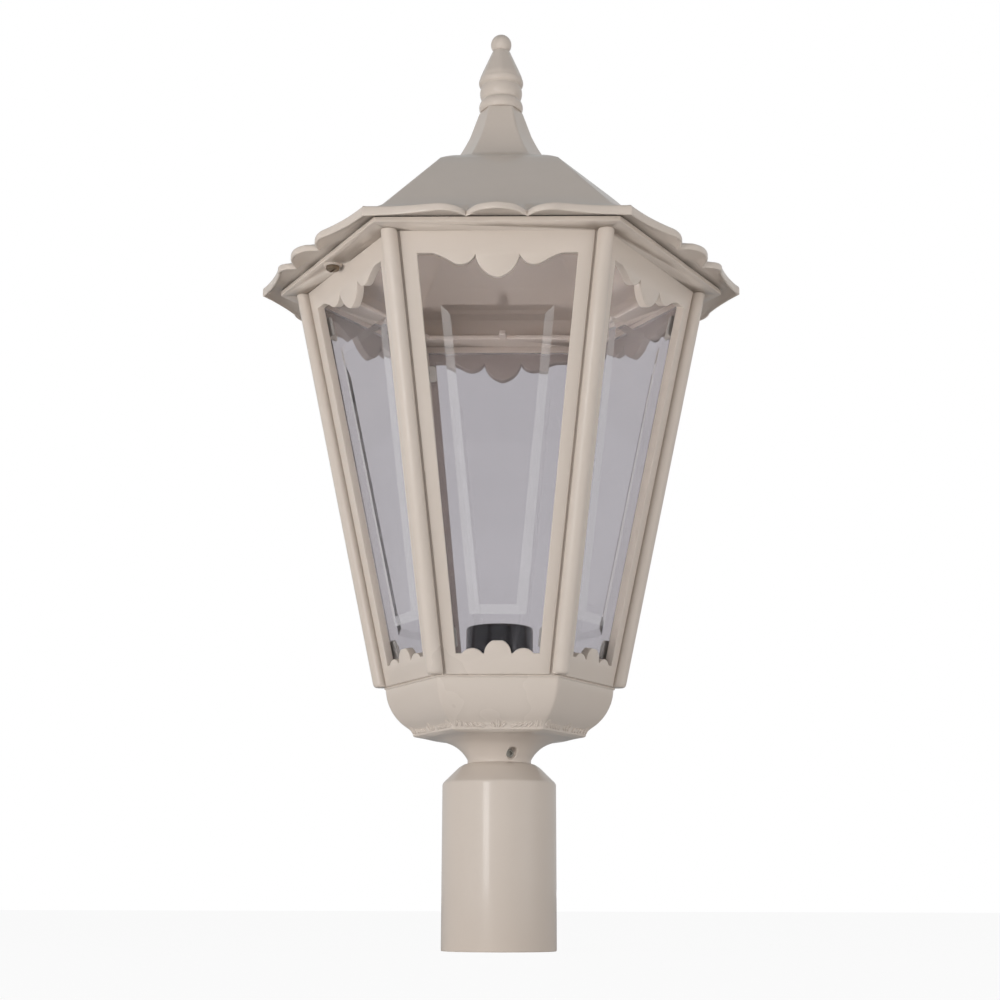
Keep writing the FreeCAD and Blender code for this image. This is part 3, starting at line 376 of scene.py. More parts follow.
def make_ring_tree():
    """Geometry Nodes: copies of one casting at even turns round the lantern's axis."""
    tree = bpy.data.node_groups.new("ring_of_castings", "GeometryNodeTree")
    for label, side, kind in (("Casting", "INPUT", "Geometry"), ("Copies", "INPUT", "Int"),
                              ("Finish", "INPUT", "Material"), ("Ring", "OUTPUT", "Geometry")):
        tree.interface.new_socket(name=label, in_out=side, socket_type="NodeSocket" + kind)
    new = tree.nodes.new
    given, result = new("NodeGroupInput"), new("NodeGroupOutput")
    points, index, part = new("GeometryNodePoints"), new("GeometryNodeInputIndex"), new("ShaderNodeMath")
    angle, turn = new("ShaderNodeMath"), new("FunctionNodeAxisAngleToRotation")
    copies, real, painted = new("GeometryNodeInstanceOnPoints"), new("GeometryNodeRealizeInstances"), \
        new("GeometryNodeSetMaterial")
    part.operation, angle.operation = "DIVIDE", "MULTIPLY"
    angle.inputs[1].default_value = math.tau
    turn.inputs["Axis"].default_value = (0.0, 0.0, 1.0)
    wire_up(tree, (given, "Copies", points, "Count"), (given, "Casting", copies, "Instance"),
            (points, "Points", copies, "Points"), (turn, "Rotation", copies, "Rotation"),
            (copies, "Instances", real, "Geometry"), (real, "Geometry", painted, "Geometry"),
            (given, "Finish", painted, "Material"), (painted, "Geometry", result, "Ring"))
    tree.links.new(index.outputs[0], part.inputs[0])
    tree.links.new(given.outputs["Copies"], part.inputs[1])
    tree.links.new(part.outputs[0], angle.inputs[0])
    tree.links.new(angle.outputs[0], turn.inputs["Angle"])
    return tree


ring_of_castings = make_ring_tree()


def run_tree(piece, tree, **values):
    """Runs a Geometry Nodes tree on a piece, with its inputs by name, and keeps the plain mesh."""
    grown = piece.modifiers.new(tree.name, "NODES")
    grown.node_group = tree
    for socket in tree.interface.items_tree:
        if socket.in_out == "INPUT" and socket.name in values:
            grown[socket.identifier] = values[socket.name]
    mesh = bpy.data.meshes.new_from_object(piece.evaluated_get(bpy.context.evaluated_depsgraph_get()))
    piece.modifiers.remove(grown)
    piece.data = mesh
    mesh.polygons.foreach_set("use_smooth", [True] * len(mesh.polygons))
    mesh.set_sharp_from_angle(angle=math.radians(30.0))


def six_of(piece, material):
    """Repeats a casting on all six sides."""
    run_tree(piece, ring_of_castings, Copies=6, Finish=material)


def rounded_block(low, high, ease, segments=3):
    """Points and faces of a block in millimetres with its edges broken."""
    work = bmesh.new()
    bmesh.ops.create_cube(work, size=1.0)
    for vertex in work.verts:
        vertex.co = Vector([a + (b - a) * (share + 0.5) for a, b, share in zip(low, high, vertex.co)])
    bmesh.ops.bevel(work, geom=work.edges[:], offset=ease, segments=segments, profile=0.5, affect="EDGES")
    points = [vertex.co * MM for vertex in work.verts]
    faces = [tuple(vertex.index for vertex in face.verts) for face in work.faces]
    work.free()
    return points, faces


dish_foot, dish_rim, bowl_floor, spigot_clearance_radius = (54.2, 127.6), (68.3, 150.6), 130.0, 12.56
rail_screw_height, earth_boss_across = 155.0, -34.0
neck_rings = [circle(r, z) for r, z in
              [(spigot_clearance_radius, 106.7), (18.4, 106.7), (18.8, 107.1), (18.8, 109.2)]
              + arc_outline((18.8, 109.2), (31.0, 119.4), -1.555, 10)[1:]
              + arc_outline((31.0, 119.4), (42.2, 121.8), -0.554, 6)[1:]]
lip_rings = [blend_rings(circle(43.0, 121.9), hex_ring(47.0, 121.9), 0.25),
             hex_ring(50.4, 122.7), hex_ring(51.3, 123.2), hex_ring(51.5, 123.8), hex_ring(51.7, 124.6),
             hex_ring(52.7, 126.2), hex_ring(53.0, 126.6), hex_ring(*dish_foot)]
dish_outline = arc_outline(dish_foot, dish_rim, 3.42, 14)[1:]
dish_rings = [hex_ring(r, z, 1.4) for r, z in dish_outline]
rim_rings = [hex_ring(r, z, 1.2) for r, z in [(68.9, 150.9), (69.2, 151.3), (69.1, 151.8), (68.6, 152.2),
                                              (64.2, 152.2), (63.8, 151.8)]]
cavity_rings = [hex_ring(r, z, 3.0) for r, z in arc_outline((63.8, 151.0), (53.1, bowl_floor), -2.4, 8)]
floor_rings = [circle(r, z) for r, z in [(30.0, bowl_floor), (5.4, bowl_floor), (5.05, 129.7),
                                         (5.05, 126.2), (spigot_clearance_radius, 126.2)]]
bowl = piece_of("base_bowl_cast", *skin(neck_rings + lip_rings + dish_rings + rim_rings + cavity_rings
                                        + floor_rings, closed=True), cream_enamel, sharp=40.0)
neck_screw_hole = radial_turn(neck_screw_turn, neck_screw_height)
drill(bowl, [(neck_screw_hole, 2.55, 11.0, 20.0), (neck_screw_hole, 3.3, 17.2, 25.0)])

lug = piece_of("lug", *rounded_block((49.76, -7.0, 142.2), (57.0, 7.0, 157.2), 0.8), cream_enamel)
drill(lug, [(radial_turn(0, rail_screw_height), 1.6, 45.0, 60.0)])
lug.data.transform(Matrix.Rotation(-math.pi / 2, 4, "Z"))
six_of(lug, cream_enamel)

boss_section = eased([(PINHOLE, 129.6, 0), (5.6, 129.6, 0), (5.0, 130.4, 0.3), (5.0, 133.0, 0.5),
                      (1.6, 133.0, 0.1), (1.55, 129.9, 0), (PINHOLE, 129.9, 0)])
boss = piece_of("boss", *skin([circle(r, z, 48) for r, z in boss_section]), cream_enamel)
boss.data.transform(Matrix.Translation((earth_boss_across * MM, 0, 0)))


def dish_apothem(z):
    """Distance of the dish's front face from the axis at a height."""
    outline = [(51.5, 123.7), (52.8, 126.4), dish_foot] + dish_outline
    for (low, start), (high, end) in zip(outline, outline[1:]):
        if z <= end:
            return (low + (z - start) / (end - start) * (high - low)) * math.cos(math.pi / 6)
    return outline[-1][0] * math.cos(math.pi / 6)


def cast_leaf(middle, foot_z, turn, length, width):
    """Skin of one leaf in low relief on the front face: lobed outline, crowned, with a vein."""
    along, round_ = 8, 12
    cos, sin = math.cos(math.radians(turn)), math.sin(math.radians(turn))
    rings = []
    for row in range(along + 1):
        share = row / along
        lobes = 1 + 0.16 * math.sin(share * math.pi * 3 + 0.5)
        half = max(width / 2 * math.sin(math.pi * min(share * 0.94 + 0.03, 1.0)) ** 0.7 * lobes, 0.03)
        ring = []
        for step in range(round_):
            angle = math.tau * step / round_
            side = math.cos(angle)
            rise = max(math.sin(angle), 0.0) ** 0.8 * 1.05 * math.sin(math.pi * (0.12 + share * 0.82)) ** 0.5
            rise *= 1 - 0.45 * max(1 - abs(side) * 5, 0.0)      # the vein's groove
            across = middle + side * half * cos + share * length * sin
            z = foot_z + share * length * cos - side * half * sin
            ring.append(Vector((across, -(dish_apothem(z) - 0.25 + rise), z)) * MM)
        rings.append(ring)
    points, faces = skin(rings)
    faces += [tuple(range(round_)), tuple(range(along * round_, (along + 1) * round_))]
    return points, faces


spray = [(0.0, 124.0, 0, 4.6, 3.0), (-2.0, 124.3, -38, 3.6, 2.2), (2.0, 124.3, 38, 3.6, 2.2)]
for side in (-1, 1):
    for place in range(4):
        spray.append((side * (7.4 + place * 3.3), 124.3, side * (62 - 8 * place), 4.3 - 0.25 * place, 2.4))
    spray += [(side * 21.4, 124.1, side * 12, 4.4, 2.8), (side * 24.2, 124.6, side * -6, 4.0, 2.4)]
leaves = piece_of("leaves", *joined(*[cast_leaf(*leaf) for leaf in spray]), cream_enamel)
six_of(leaves, cream_enamel)

cast_together(bowl, lug, boss, leaves)
settle(bowl, "head", "body_paint", "base_bowl")

# ---- Cable nipple and nuts ------------------------------------------------------------------------
# Hollow threaded nipple of plated steel, screwed through the bowl's floor. One nut locks it there, and a
# second clamps the wiring strip on top. The supply cable comes up through its bore.


def revolved(section, count=96):
    """Closed skin of a turned part."""
    return skin([circle(r, z, count) for r, z in section], closed=True)


strip_bottom, strip_top = 134.0, 136.0
nipple_section = [(3.6, 116.3), (3.9, 116.0), (4.6, 116.0)]
for turn_of_thread in range(28):
    nipple_section += [(5.0, 116.5 + turn_of_thread), (4.68, 117.0 + turn_of_thread)]
nipple_section += [(5.0, 144.5), (4.7, 145.0), (3.8, 145.0), (3.6, 144.7)]
settle(piece_of("cable_nipple_threaded", *revolved(nipple_section, 48), zinc_plate), "head", "zinc_steel",
       "cable_nipple")


def nut(circumradius, bore, low, height):
    """Skin of a hexagon nut with both faces chamfered round its corners and its bore."""
    count = 72
    flat = circumradius * math.cos(math.pi / 6)
    drop = (circumradius - flat) * 0.6
    inside = [(bore + 0.35, low), (bore, low + 0.4), (bore, low + height - 0.4), (bore + 0.35, low + height)]
    levels = [(flat * 0.97, low), (flat + (circumradius - flat) * 0.5, low + drop * 0.4),
              (circumradius, low + drop), (circumradius, low + height - drop),
              (flat + (circumradius - flat) * 0.5, low + height - drop * 0.4), (flat * 0.97, low + height)]
    rings = []
    for limit, z in levels:
        ring = []
        for index in range(count):
            angle = math.tau * index / count
            within = (angle + math.pi / 6) % (math.pi / 3) - math.pi / 6
            reach = min(flat / math.cos(within), limit)
            ring.append(Vector((reach * math.cos(angle), reach * math.sin(angle), z)) * MM)
        rings.append(ring)
    rings += [plain_ring(r, z, count) for r, z in reversed(inside)]
    return skin(rings, closed=True)


for name, low, height in (("floor_lock_nut", bowl_floor, strip_bottom - bowl_floor),
                          ("strip_lock_nut", strip_top, 3.0)):
    settle(piece_of(name + "_plated", *nut(8.1, 5.05, low, height), zinc_plate), "head", "zinc_steel", name)

# ---- Wiring strip ---------------------------------------------------------------------------------
# Flat plated steel strip with rounded ends, punched for the nipple and held between its two nuts. It
# carries the terminal block.


def cut_plate(outlines, thickness, ease):
    """Points (in millimetres) and faces of a plate cut from sheet, its edges broken; the first outline
    runs counter-clockwise, holes clockwise."""
    curve = bpy.data.curves.new("plate", "CURVE")
    curve.dimensions, curve.fill_mode = "2D", "BOTH"
    curve.extrude, curve.bevel_depth, curve.bevel_resolution = thickness / 2 - ease, ease, 2
    curve.offset = -ease
    for outline in outlines:
        spline = curve.splines.new("POLY")
        spline.points.add(len(outline) - 1)
        for point, (x, y) in zip(spline.points, outline):
            point.co = (x, y, 0.0, 1.0)
        spline.use_cyclic_u = True
    sheet = bpy.data.objects.new("plate", curve)
    bpy.context.scene.collection.objects.link(sheet)
    mesh = bpy.data.meshes.new_from_object(sheet.evaluated_get(bpy.context.evaluated_depsgraph_get()))
    work = bmesh.new()
    work.from_mesh(mesh)
    bmesh.ops.remove_doubles(work, verts=work.verts, dist=0.001)
    points = [vertex.co + Vector((0, 0, thickness / 2)) for vertex in work.verts]
    faces = [tuple(vertex.index for vertex in face.verts) for face in work.faces]
    work.free()
    bpy.data.objects.remove(sheet)
    bpy.data.curves.remove(curve)
    return points, faces


def round_hole(x, y, radius, count=40):
    """Clockwise outline of a hole in a plate."""
    return [(x + radius * math.cos(-math.tau * index / count),
             y + radius * math.sin(-math.tau * index / count)) for index in range(count)]


def softened(corners, rounding, steps=5):
    """Closed outline with each corner rounded off."""
    outline = []
    for index, corner in enumerate(corners):
        here, before = Vector(corner), Vector(corners[index - 1])
        after = Vector(corners[(index + 1) % len(corners)])
        start = here + (before - here).normalized() * rounding
        end = here + (after - here).normalized() * rounding
        for step in range(steps + 1):
            share = step / steps
            outline.append(tuple((1 - share) ** 2 * start + 2 * share * (1 - share) * here
                                 + share ** 2 * end))
    return outline


strip_outline = softened([(-20, -10), (41, -10), (41, 10), (-20, 10)], 4.0)
strip_points, strip_faces = cut_plate([strip_outline, round_hole(0, 0, 5.4)], strip_top - strip_bottom, 0.25)
strip_points = [(point + Vector((0, 0, strip_bottom))) * MM for point in strip_points]
settle(piece_of("wiring_strip_punched", strip_points, strip_faces, zinc_plate), "head", "zinc_steel",
       "wiring_strip")

# ---- Terminal block -------------------------------------------------------------------------------
# Three moulded poles on a common foot, off white plastic, each bored for its wires and its two screws.

terminal_moulding = finish("terminal_moulding", srgb(222, 220, 210), srgb(210, 206, 194), dust=0.3,
                           smoothest=0.45, roughest=0.6)
pole_pitch, terminal_screw_rows = 6.333, (28.5, 36.5)
poles = []
for pole in (-1, 0, 1):
    middle = pole * pole_pitch
    moulded = piece_of("pole", *rounded_block((25.0, middle - 2.95, 136.1), (40.0, middle + 2.95, 148.0),
                                              0.9), terminal_moulding)
    along = Matrix.Translation((0, middle * MM, 141.0 * MM)) @ Matrix.Rotation(math.pi / 2, 4, "Y")
    drill(moulded, [(along, 1.6, 20.0, 45.0)]
          + [(Matrix.Translation((x * MM, middle * MM, 0)), 1.8, 144.0, 150.0) for x in terminal_screw_rows],
          32)
    poles.append(moulded)
terminal_foot = piece_of("terminal_block_moulded",
                         *rounded_block((25.4, -9.5, strip_top), (39.6, 9.5, 138.6), 0.5), terminal_moulding)
cast_together(terminal_foot, *poles)
settle(terminal_foot, "head", "terminal_plastic", "terminal_block")


def recess_ring(long, narrow, cross, z, count=48):
    """Ring round a screwdriver slot, or round a cross of two slots."""
    ring = []
    for index in range(count):
        angle = math.tau * index / count
        cos, sin = max(abs(math.cos(angle)), 1e-6), max(abs(math.sin(angle)), 1e-6)
        reach = min(long / cos, narrow / sin)
        if cross:
            reach = max(reach, min(long / sin, narrow / cos))
        ring.append(Vector((reach * math.cos(angle), reach * math.sin(angle), z)) * MM)
    return ring


def driven_screw(head, head_height, shank, length, long, narrow, cross, domed=0.35):
    """Skin of a screw that points down from z 0, its head above, with a recess for the driver."""
    count = 48
    profile = [(PINHOLE, -length), (shank * 0.55, -length), (shank, -length + shank * 0.7)]
    crest = -length + shank
    while crest < -1.4:
        profile += [(shank, crest), (shank * 0.86, crest + 0.35)]
        crest += 0.7
    profile += [(shank, -0.7), (shank, 0.0), (head, 0.0), (head, head_height * (1 - domed) * 0.8),
                (head * 0.985, head_height * (1 - domed)), (head * 0.93, head_height * (1 - domed * 0.45)),
                (head * 0.82, head_height * (1 - domed * 0.12)), (head * 0.7, head_height)]
    rings = [plain_ring(r, z, count) for r, z in profile]
    rings += [recess_ring(long, narrow, cross, head_height), recess_ring(long * 0.92, narrow * 0.8, cross,
              head_height * 0.35), plain_ring(PINHOLE, head_height * 0.3, count)]
    return skin(rings)


def placed(made, place):
    """Points and faces moved to a placement."""
    points, faces = made
    return [place @ point for point in points], faces


terminal_screw = driven_screw(1.7, 2.2, 1.4, 1.6, 1.35, 0.28, False, 0.2)
settle(piece_of("terminal_screws_slotted", *joined(*[
    placed(terminal_screw, Matrix.Translation((x * MM, pole * pole_pitch * MM, 146.6 * MM))
           @ Matrix.Rotation(0.4 + pole + x, 4, "Z")) for x in terminal_screw_rows for pole in (-1, 0, 1)]),
    zinc_plate), "head", "zinc_steel", "terminal_screws")

# ---- Earth screw ----------------------------------------------------------------------------------
# Plated pan head screw on the boss in the bowl's floor, for the earth wire's eyelet.

settle(piece_of("earth_screw_crossed", *placed(driven_screw(3.6, 2.4, 1.5, 4.8, 2.0, 0.45, True),
                                               Matrix.Translation((earth_boss_across * MM, 0, 133.2 * MM))),
                zinc_plate), "head", "zinc_steel", "earth_screw")

# ---- Lamp holder ----------------------------------------------------------------------------------
# Screwed on the nipple's top: a turned black moulding in two shells, a white porcelain disc, a rolled
# brass thread and a sprung tongue that touches the lamp's tip.

black_gloss = finish("black_gloss_moulding", srgb(24, 24, 27), srgb(32, 32, 36), dust=0.25, coat=0.4,
                     drift_scale=30.0, skin_scale=700.0, skin_height=0.03, smoothest=0.16, roughest=0.28)
base_section = (eased([(5.05, 139.2, 0), (14.6, 139.2, 0.8), (14.6, 147.2, 0.4)])
                + arc_outline((14.6, 147.2), (20.0, 157.2), 1.35, 8)[1:]
                + [(14.6, 157.2), (14.6, 150.2), (12.2, 150.2), (12.2, 145.2), (5.05, 145.2)])
lead_hole_across, lead_hole_height = 4.0, 147.0
holder_base = piece_of("lampholder_base_moulded", *revolved(base_section), black_gloss)
drill(holder_base, [(Matrix.Translation((0, side * lead_hole_across * MM, lead_hole_height * MM))
                     @ Matrix.Rotation(math.pi / 2, 4, "Y"), 1.6, 7.0, 20.0) for side in (-1, 1)], 32)
settle(holder_base, "head", "black_bakelite", "lampholder_base")

skirt_section = [(17.6, 157.4), (19.6, 157.4), (20.0, 157.8), (20.0, 159.4), (19.7, 159.7), (19.7, 160.1),
                 (20.0, 160.4), (20.0, 186.8), (19.8, 187.5), (19.3, 187.95), (18.8, 188.0), (18.2, 187.85),
                 (17.75, 187.4), (17.6, 186.8)]
settle(piece_of("lampholder_skirt_moulded", *revolved(skirt_section), black_gloss), "head",
       "black_bakelite", "lampholder_skirt")

white_porcelain = finish("white_porcelain", srgb(228, 226, 218), srgb(216, 212, 202), dust=0.3,
                         smoothest=0.2, roughest=0.35)
core_section = [(PINHOLE, 150.4), (14.0, 150.4), (14.4, 150.8), (14.4, 157.0), (14.1, 157.4), (9.9, 157.4),
                (9.5, 157.0), (9.5, 153.8), (9.2, 153.4), (PINHOLE, 153.4)]
settle(piece_of("lampholder_core_fired", *skin([circle(r, z, 72) for r, z in core_section]),
                white_porcelain), "head", "white_ceramic", "lampholder_core")

rolled_brass = finish("rolled_brass", srgb(196, 160, 92), srgb(160, 124, 66), metallic=1.0, dust=0.15,
                      drift_scale=40.0, smoothest=0.22, roughest=0.42)
thread_pitch, thread_rows = 3.63, 60


def thread_wall(offset):
    """Rings of the rolled thread, a true helix between z 157.4 and z 184.0."""
    rings = []
    for row in range(thread_rows + 1):
        z = 157.4 + 26.6 * row / thread_rows
        fade = min(1.0, row / 6, (thread_rows - row) / 4)
        ring = []
        for index in range(72):
            angle = math.tau * index / 72
            reach = 13.65 + offset + fade * 0.34 * math.sin(math.tau * (z / thread_pitch - index / 72))
            ring.append(Vector((reach * math.cos(angle), reach * math.sin(angle), z)) * MM)
        rings.append(ring)
    return rings


settle(piece_of("lampholder_thread_rolled", *skin(thread_wall(0.15) + thread_wall(-0.15)[::-1], closed=True),
                rolled_brass), "head", "brass_parts", "lampholder_thread")


def folded_strip(path, halves, thickness, lay):
    """Skin of a strip of sheet metal folded along a path; lay turns (along, up, across) into a point."""
    rings = []
    ease = thickness * 0.25
    for index, here in enumerate(path):
        run = (Vector(path[min(index + 1, len(path) - 1)]) - Vector(path[max(index - 1, 0)])).normalized()
        half, edge = halves[index], thickness / 2
        section = [(edge, half - ease), (edge - ease, half), (ease - edge, half), (-edge, half - ease),
                   (-edge, ease - half), (ease - edge, -half), (edge - ease, -half), (edge, ease - half)]
        rings.append([lay(here[0] - run.y * out, here[1] + run.x * out, wide) for out, wide in section])
    points, faces = skin(rings)
    return points, faces + [tuple(range(8)), tuple(range(len(points) - 8, len(points)))]


tongue_path = [(-8.0, 153.7), (-2.0, 153.7), (2.6, 153.7), (3.2, 153.8), (3.6, 154.2), (3.7, 154.8),
               (3.7, 155.6), (3.5, 156.1), (3.0, 156.4), (0.0, 156.5), (-3.0, 156.5), (-3.9, 156.3)]
settle(piece_of("lampholder_contact_sprung", *folded_strip(
    tongue_path, [2.0] + [2.4] * 9 + [2.2, 1.4], 0.6, lambda x, z, y: Vector((x, y, z)) * MM),
    rolled_brass), "head", "brass_parts", "lampholder_contact")

# ---- Leads ----------------------------------------------------------------------------------------
# Two short sleeved leads, bent by hand from the terminal block's end poles up into the lamp holder.

lead_sleeve = finish("lead_sleeve", srgb(120, 78, 46), srgb(98, 62, 38), dust=0.2, smoothest=0.35,
                     roughest=0.5)
sleeves = []
for side in (-1, 1):
    curve = bpy.data.curves.new("sleeve", "CURVE")
    curve.dimensions, curve.bevel_depth, curve.bevel_resolution = "3D", 1.2 * MM, 5
    curve.resolution_u, curve.use_fill_caps = 10, True
    spline = curve.splines.new("NURBS")
    route = [(30.0, 6.33, 141.0), (25.0, 6.33, 141.0), (21.5, 6.33, 141.0), (19.2, 5.2, 143.6),
             (17.4, lead_hole_across, lead_hole_height), (13.0, lead_hole_across, lead_hole_height),
             (8.6, lead_hole_across, lead_hole_height)]
    spline.points.add(len(route) - 1)
    for point, (x, y, z) in zip(spline.points, route):
        point.co = (x * MM, side * y * MM, z * MM, 1.0)
    spline.order_u, spline.use_endpoint_u = 3, True
    strand = bpy.data.objects.new("sleeve", curve)
    bpy.context.scene.collection.objects.link(strand)
    mesh = bpy.data.meshes.new_from_object(strand.evaluated_get(bpy.context.evaluated_depsgraph_get()))
    mesh.materials.clear()
    mesh.materials.append(lead_sleeve)
    bpy.data.objects.remove(strand)
    sleeve = bpy.data.objects.new("lampholder_leads_sleeved", mesh)
    bpy.context.scene.collection.objects.link(sleeve)
    sleeves.append(sleeve)
cast_together(*sleeves)
settle(sleeves[0], "head", "lead_insulation", "lampholder_leads")

# ---- Side frames ----------------------------------------------------------------------------------
# Six aluminium castings that lean outwards, each with two stiles, a sill rail with three crests and a
# scalloped valance. Their mitred edges step back for the corner posts' beads.

lean = math.radians(10.564)
foot_apothem, cage_foot, slope_length = 61.05, 152.2, 252.28
frame_depth, mitre_step = 5.0, 1.4


def corner_distance(z):
    """Distance of the cage's outer corners from the axis at a height."""
    return 70.5 + 0.21535 * (z - cage_foot)


def on_front(across, rise, depth):
    """Point of the front side: across, up the slope, and behind its outer face."""
    out = foot_apothem + rise * math.sin(lean) - depth * math.cos(lean)
    return Vector((across, -out, cage_foot + rise * math.cos(lean) + depth * math.sin(lean))) * MM


def corner_half(rise):
    """Half the width of a side, corner to corner, at a distance up its slope."""
    return corner_distance(cage_foot + rise * math.cos(lean)) / 2


def arcs(start, *steps):
    """Outline through points; a third number bows the run to the right of travel by that much."""
    outline, here = [start], start
    for x, y, *bulge in steps:
        outline += arc_outline(here, (x, y), bulge[0], 12)[1:] if bulge else [(x, y)]
        here = (x, y)
    return outline


right_half = arcs((2.8, 18.9), (7.6, 11.7, -1.23), (8.6, 11.7), (20.2, 11.7, -2.9), (23.6, 11.7),
                  (46.0, 239.28), (37.0, 239.28), (25.6, 233.88, 0.51), (12.6, 238.48, -3.06),
                  (3.0, 226.18, -2.03), (0.0, 225.38, -0.2))
window = right_half + [(-x, y) for x, y in reversed(right_half[:-1])]
rebate = 6.0
plate_foot, plate_head = corner_half(0) - rebate, corner_half(slope_length) - rebate
frame_points, frame_faces = cut_plate([[(-plate_foot, 0), (plate_foot, 0), (plate_head, slope_length),
                                        (-plate_head, slope_length)], window[::-1]], frame_depth, 0.45)


def on_casting(point):
    """Point of the cut plate laid on the front side, its two ends level with the ground."""
    depth = frame_depth - point.z
    level = depth * math.tan(lean) if point.y < 1.0 or point.y > slope_length - 1.0 else 0.0
    return on_front(point.x, point.y - level, depth)


def mitred_edge(side):
    """Skin of the thinner strip between the plate's edge and the mitre, under the bead."""
    rings = []
    for rise in (0.0, slope_length):
        ring = []
        for depth, at_mitre in ((mitre_step, False), (mitre_step, True), (frame_depth, True),
                                (frame_depth, False)):
            level = rise - depth * math.tan(lean)
            mitre = (foot_apothem + level * math.sin(lean) - depth * math.cos(lean)) * math.tan(math.pi / 6)
            across = mitre - 0.17 if at_mitre else corner_half(level) - rebate - 0.6
            ring.append(on_front(side * across, level, depth))
        rings.append(ring)
    points, faces = skin(rings)
    return points, faces + [(0, 1, 2, 3), (4, 5, 6, 7)]


side_frames = piece_of("side_frames_cast", *joined(
    ([on_casting(point) for point in frame_points], frame_faces), mitred_edge(-1), mitred_edge(1)),
    cream_enamel)
six_of(side_frames, cream_enamel)
sides = ("front", "front_right", "back_right", "back", "back_left", "front_left")
settle(side_frames, "head", "body_paint", *["side_frame_" + side for side in sides])

# ---- Corner posts ---------------------------------------------------------------------------------
# Six cast half-round beads that cover the joints of the side frames, from the bowl's rim to the flange.
# The clamp screws draw them tight from inside.

bead_radius, cage_head = 4.8, 400.2
bead_rings = []
for height, radius in ((cage_foot, 3.7), (152.5, 4.25), (153.1, 4.6), (154.0, 4.76), (155.0, bead_radius),
                       (230.0, bead_radius), (310.0, bead_radius), (399.4, bead_radius), (400.0, 4.7),
                       (cage_head, 4.5)):
    ring = [Vector((corner_distance(height) - 1.386, 0, height)) * MM]
    for step in range(33):
        angle = math.radians(134.5) * (step / 16 - 1)
        ring.append(Vector((corner_distance(height) + radius * math.cos(angle), radius * math.sin(angle),
                            height)) * MM)
    bead_rings.append(ring)
bead_points, bead_faces = skin(bead_rings)
bead_faces += [tuple(range(34)), tuple(range(len(bead_points) - 34, len(bead_points)))]
posts = piece_of("corner_posts_beaded", bead_points, bead_faces, cream_enamel)
posts.data.transform(Matrix.Rotation(-math.pi / 3, 4, "Z"))
six_of(posts, cream_enamel)
settle(posts, "head", "body_paint", *["corner_post_" + corner for corner in
                                      ("front_right", "right", "back_right", "back_left", "left",
                                       "front_left")])

# ---- Rail screws ----------------------------------------------------------------------------------
# Six plated screws from inside the bowl's lugs into the side frames' sill rails.

rail_screws = piece_of("rail_screws_crossed", *placed(
    driven_screw(2.0, 1.8, 1.5, 9.8, 1.2, 0.3, True),
    radial_turn(-90, rail_screw_height, 49.56) @ Matrix.Rotation(math.pi, 4, "X")), zinc_plate)
six_of(rail_screws, zinc_plate)
settle(rail_screws, "head", "zinc_steel", "rail_screws")

# ---- Glass panes ----------------------------------------------------------------------------------
# Six cast panes with a raised, bevelled middle, faintly grey, laid in from inside. Their shape is the
# drawn one. Light passes as through thin glass, and bends less than in the real one, so that the bevels
# of the leaning panes stay clear.

clear_glass = bpy.data.materials.new("clear_cast_glass")
clear_glass.use_nodes = True
tree = clear_glass.node_tree
glass = tree.nodes["Principled BSDF"]
glass.inputs["Transmission Weight"].default_value = 1.0
glass.inputs["IOR"].default_value = 1.12
glass.inputs["Coat Weight"].default_value = 0.25
glass.inputs["Coat Roughness"].default_value = 0.01
glass.inputs["Specular IOR Level"].default_value = 0.3
glass.inputs["Roughness"].default_value = 0.015
tint, ripple_place, ripple, wave = tree.nodes.new("ShaderNodeTexNoise"), \
    tree.nodes.new("ShaderNodeTexCoord"), tree.nodes.new("ShaderNodeTexNoise"), \
    tree.nodes.new("ShaderNodeBump")
body_tint = tree.nodes.new("ShaderNodeMix")
body_tint.data_type = "RGBA"
body_tint.inputs["A"].default_value = srgb(213, 211, 214)
body_tint.inputs["B"].default_value = srgb(208, 206, 209)
tint.inputs["Scale"].default_value = 12.0
ripple.inputs["Scale"].default_value = 16.0
wave.inputs["Strength"].default_value = 0.05
wave.inputs["Distance"].default_value = 0.002
lamps_through, is_shadow, combined = tree.nodes.new("ShaderNodeBsdfTransparent"), \
    tree.nodes.new("ShaderNodeLightPath"), tree.nodes.new("ShaderNodeMixShader")
lamps_through.inputs["Color"].default_value = (1.0, 1.0, 1.0, 1.0)
wire_up(tree, (ripple_place, "Object", tint, "Vector"), (ripple_place, "Object", ripple, "Vector"),
        (tint, "Fac", body_tint, "Factor"), (body_tint, "Result", glass, "Base Color"),
        (ripple, "Fac", wave, "Height"), (wave, "Normal", glass, "Normal"))
# painted sheen on the bevels: on faces that tilt away from the pane's own plane, a little matt white is mixed
# into the glass to stand in for the light they catch
new = tree.nodes.new
facing, parts, azimuth, folded = new("ShaderNodeNewGeometry"), new("ShaderNodeSeparateXYZ"), \
    new("ShaderNodeMath"), new("ShaderNodeMath")
beside, height, above, either_bevel = [new("ShaderNodeMath") for _ in range(4)]
strength, painted_bevel_sheen, bevelled = new("ShaderNodeMath"), new("ShaderNodeBsdfDiffuse"), new("ShaderNodeMixShader")
for node, operation, value in ((azimuth, "ARCTAN2", 0.0), (folded, "PINGPONG", math.pi / 6),
                               (beside, "LESS_THAN", 0.3), (height, "ABSOLUTE", 0.0),
                               (above, "GREATER_THAN", 0.27), (either_bevel, "MAXIMUM", 0.0),
                               (strength, "MULTIPLY", 0.16)):
    node.operation = operation
    node.inputs[1].default_value = value
painted_bevel_sheen.inputs["Color"].default_value = (0.95, 0.95, 0.95, 1.0)
wire_up(tree, (facing, "True Normal", parts, "Vector"))
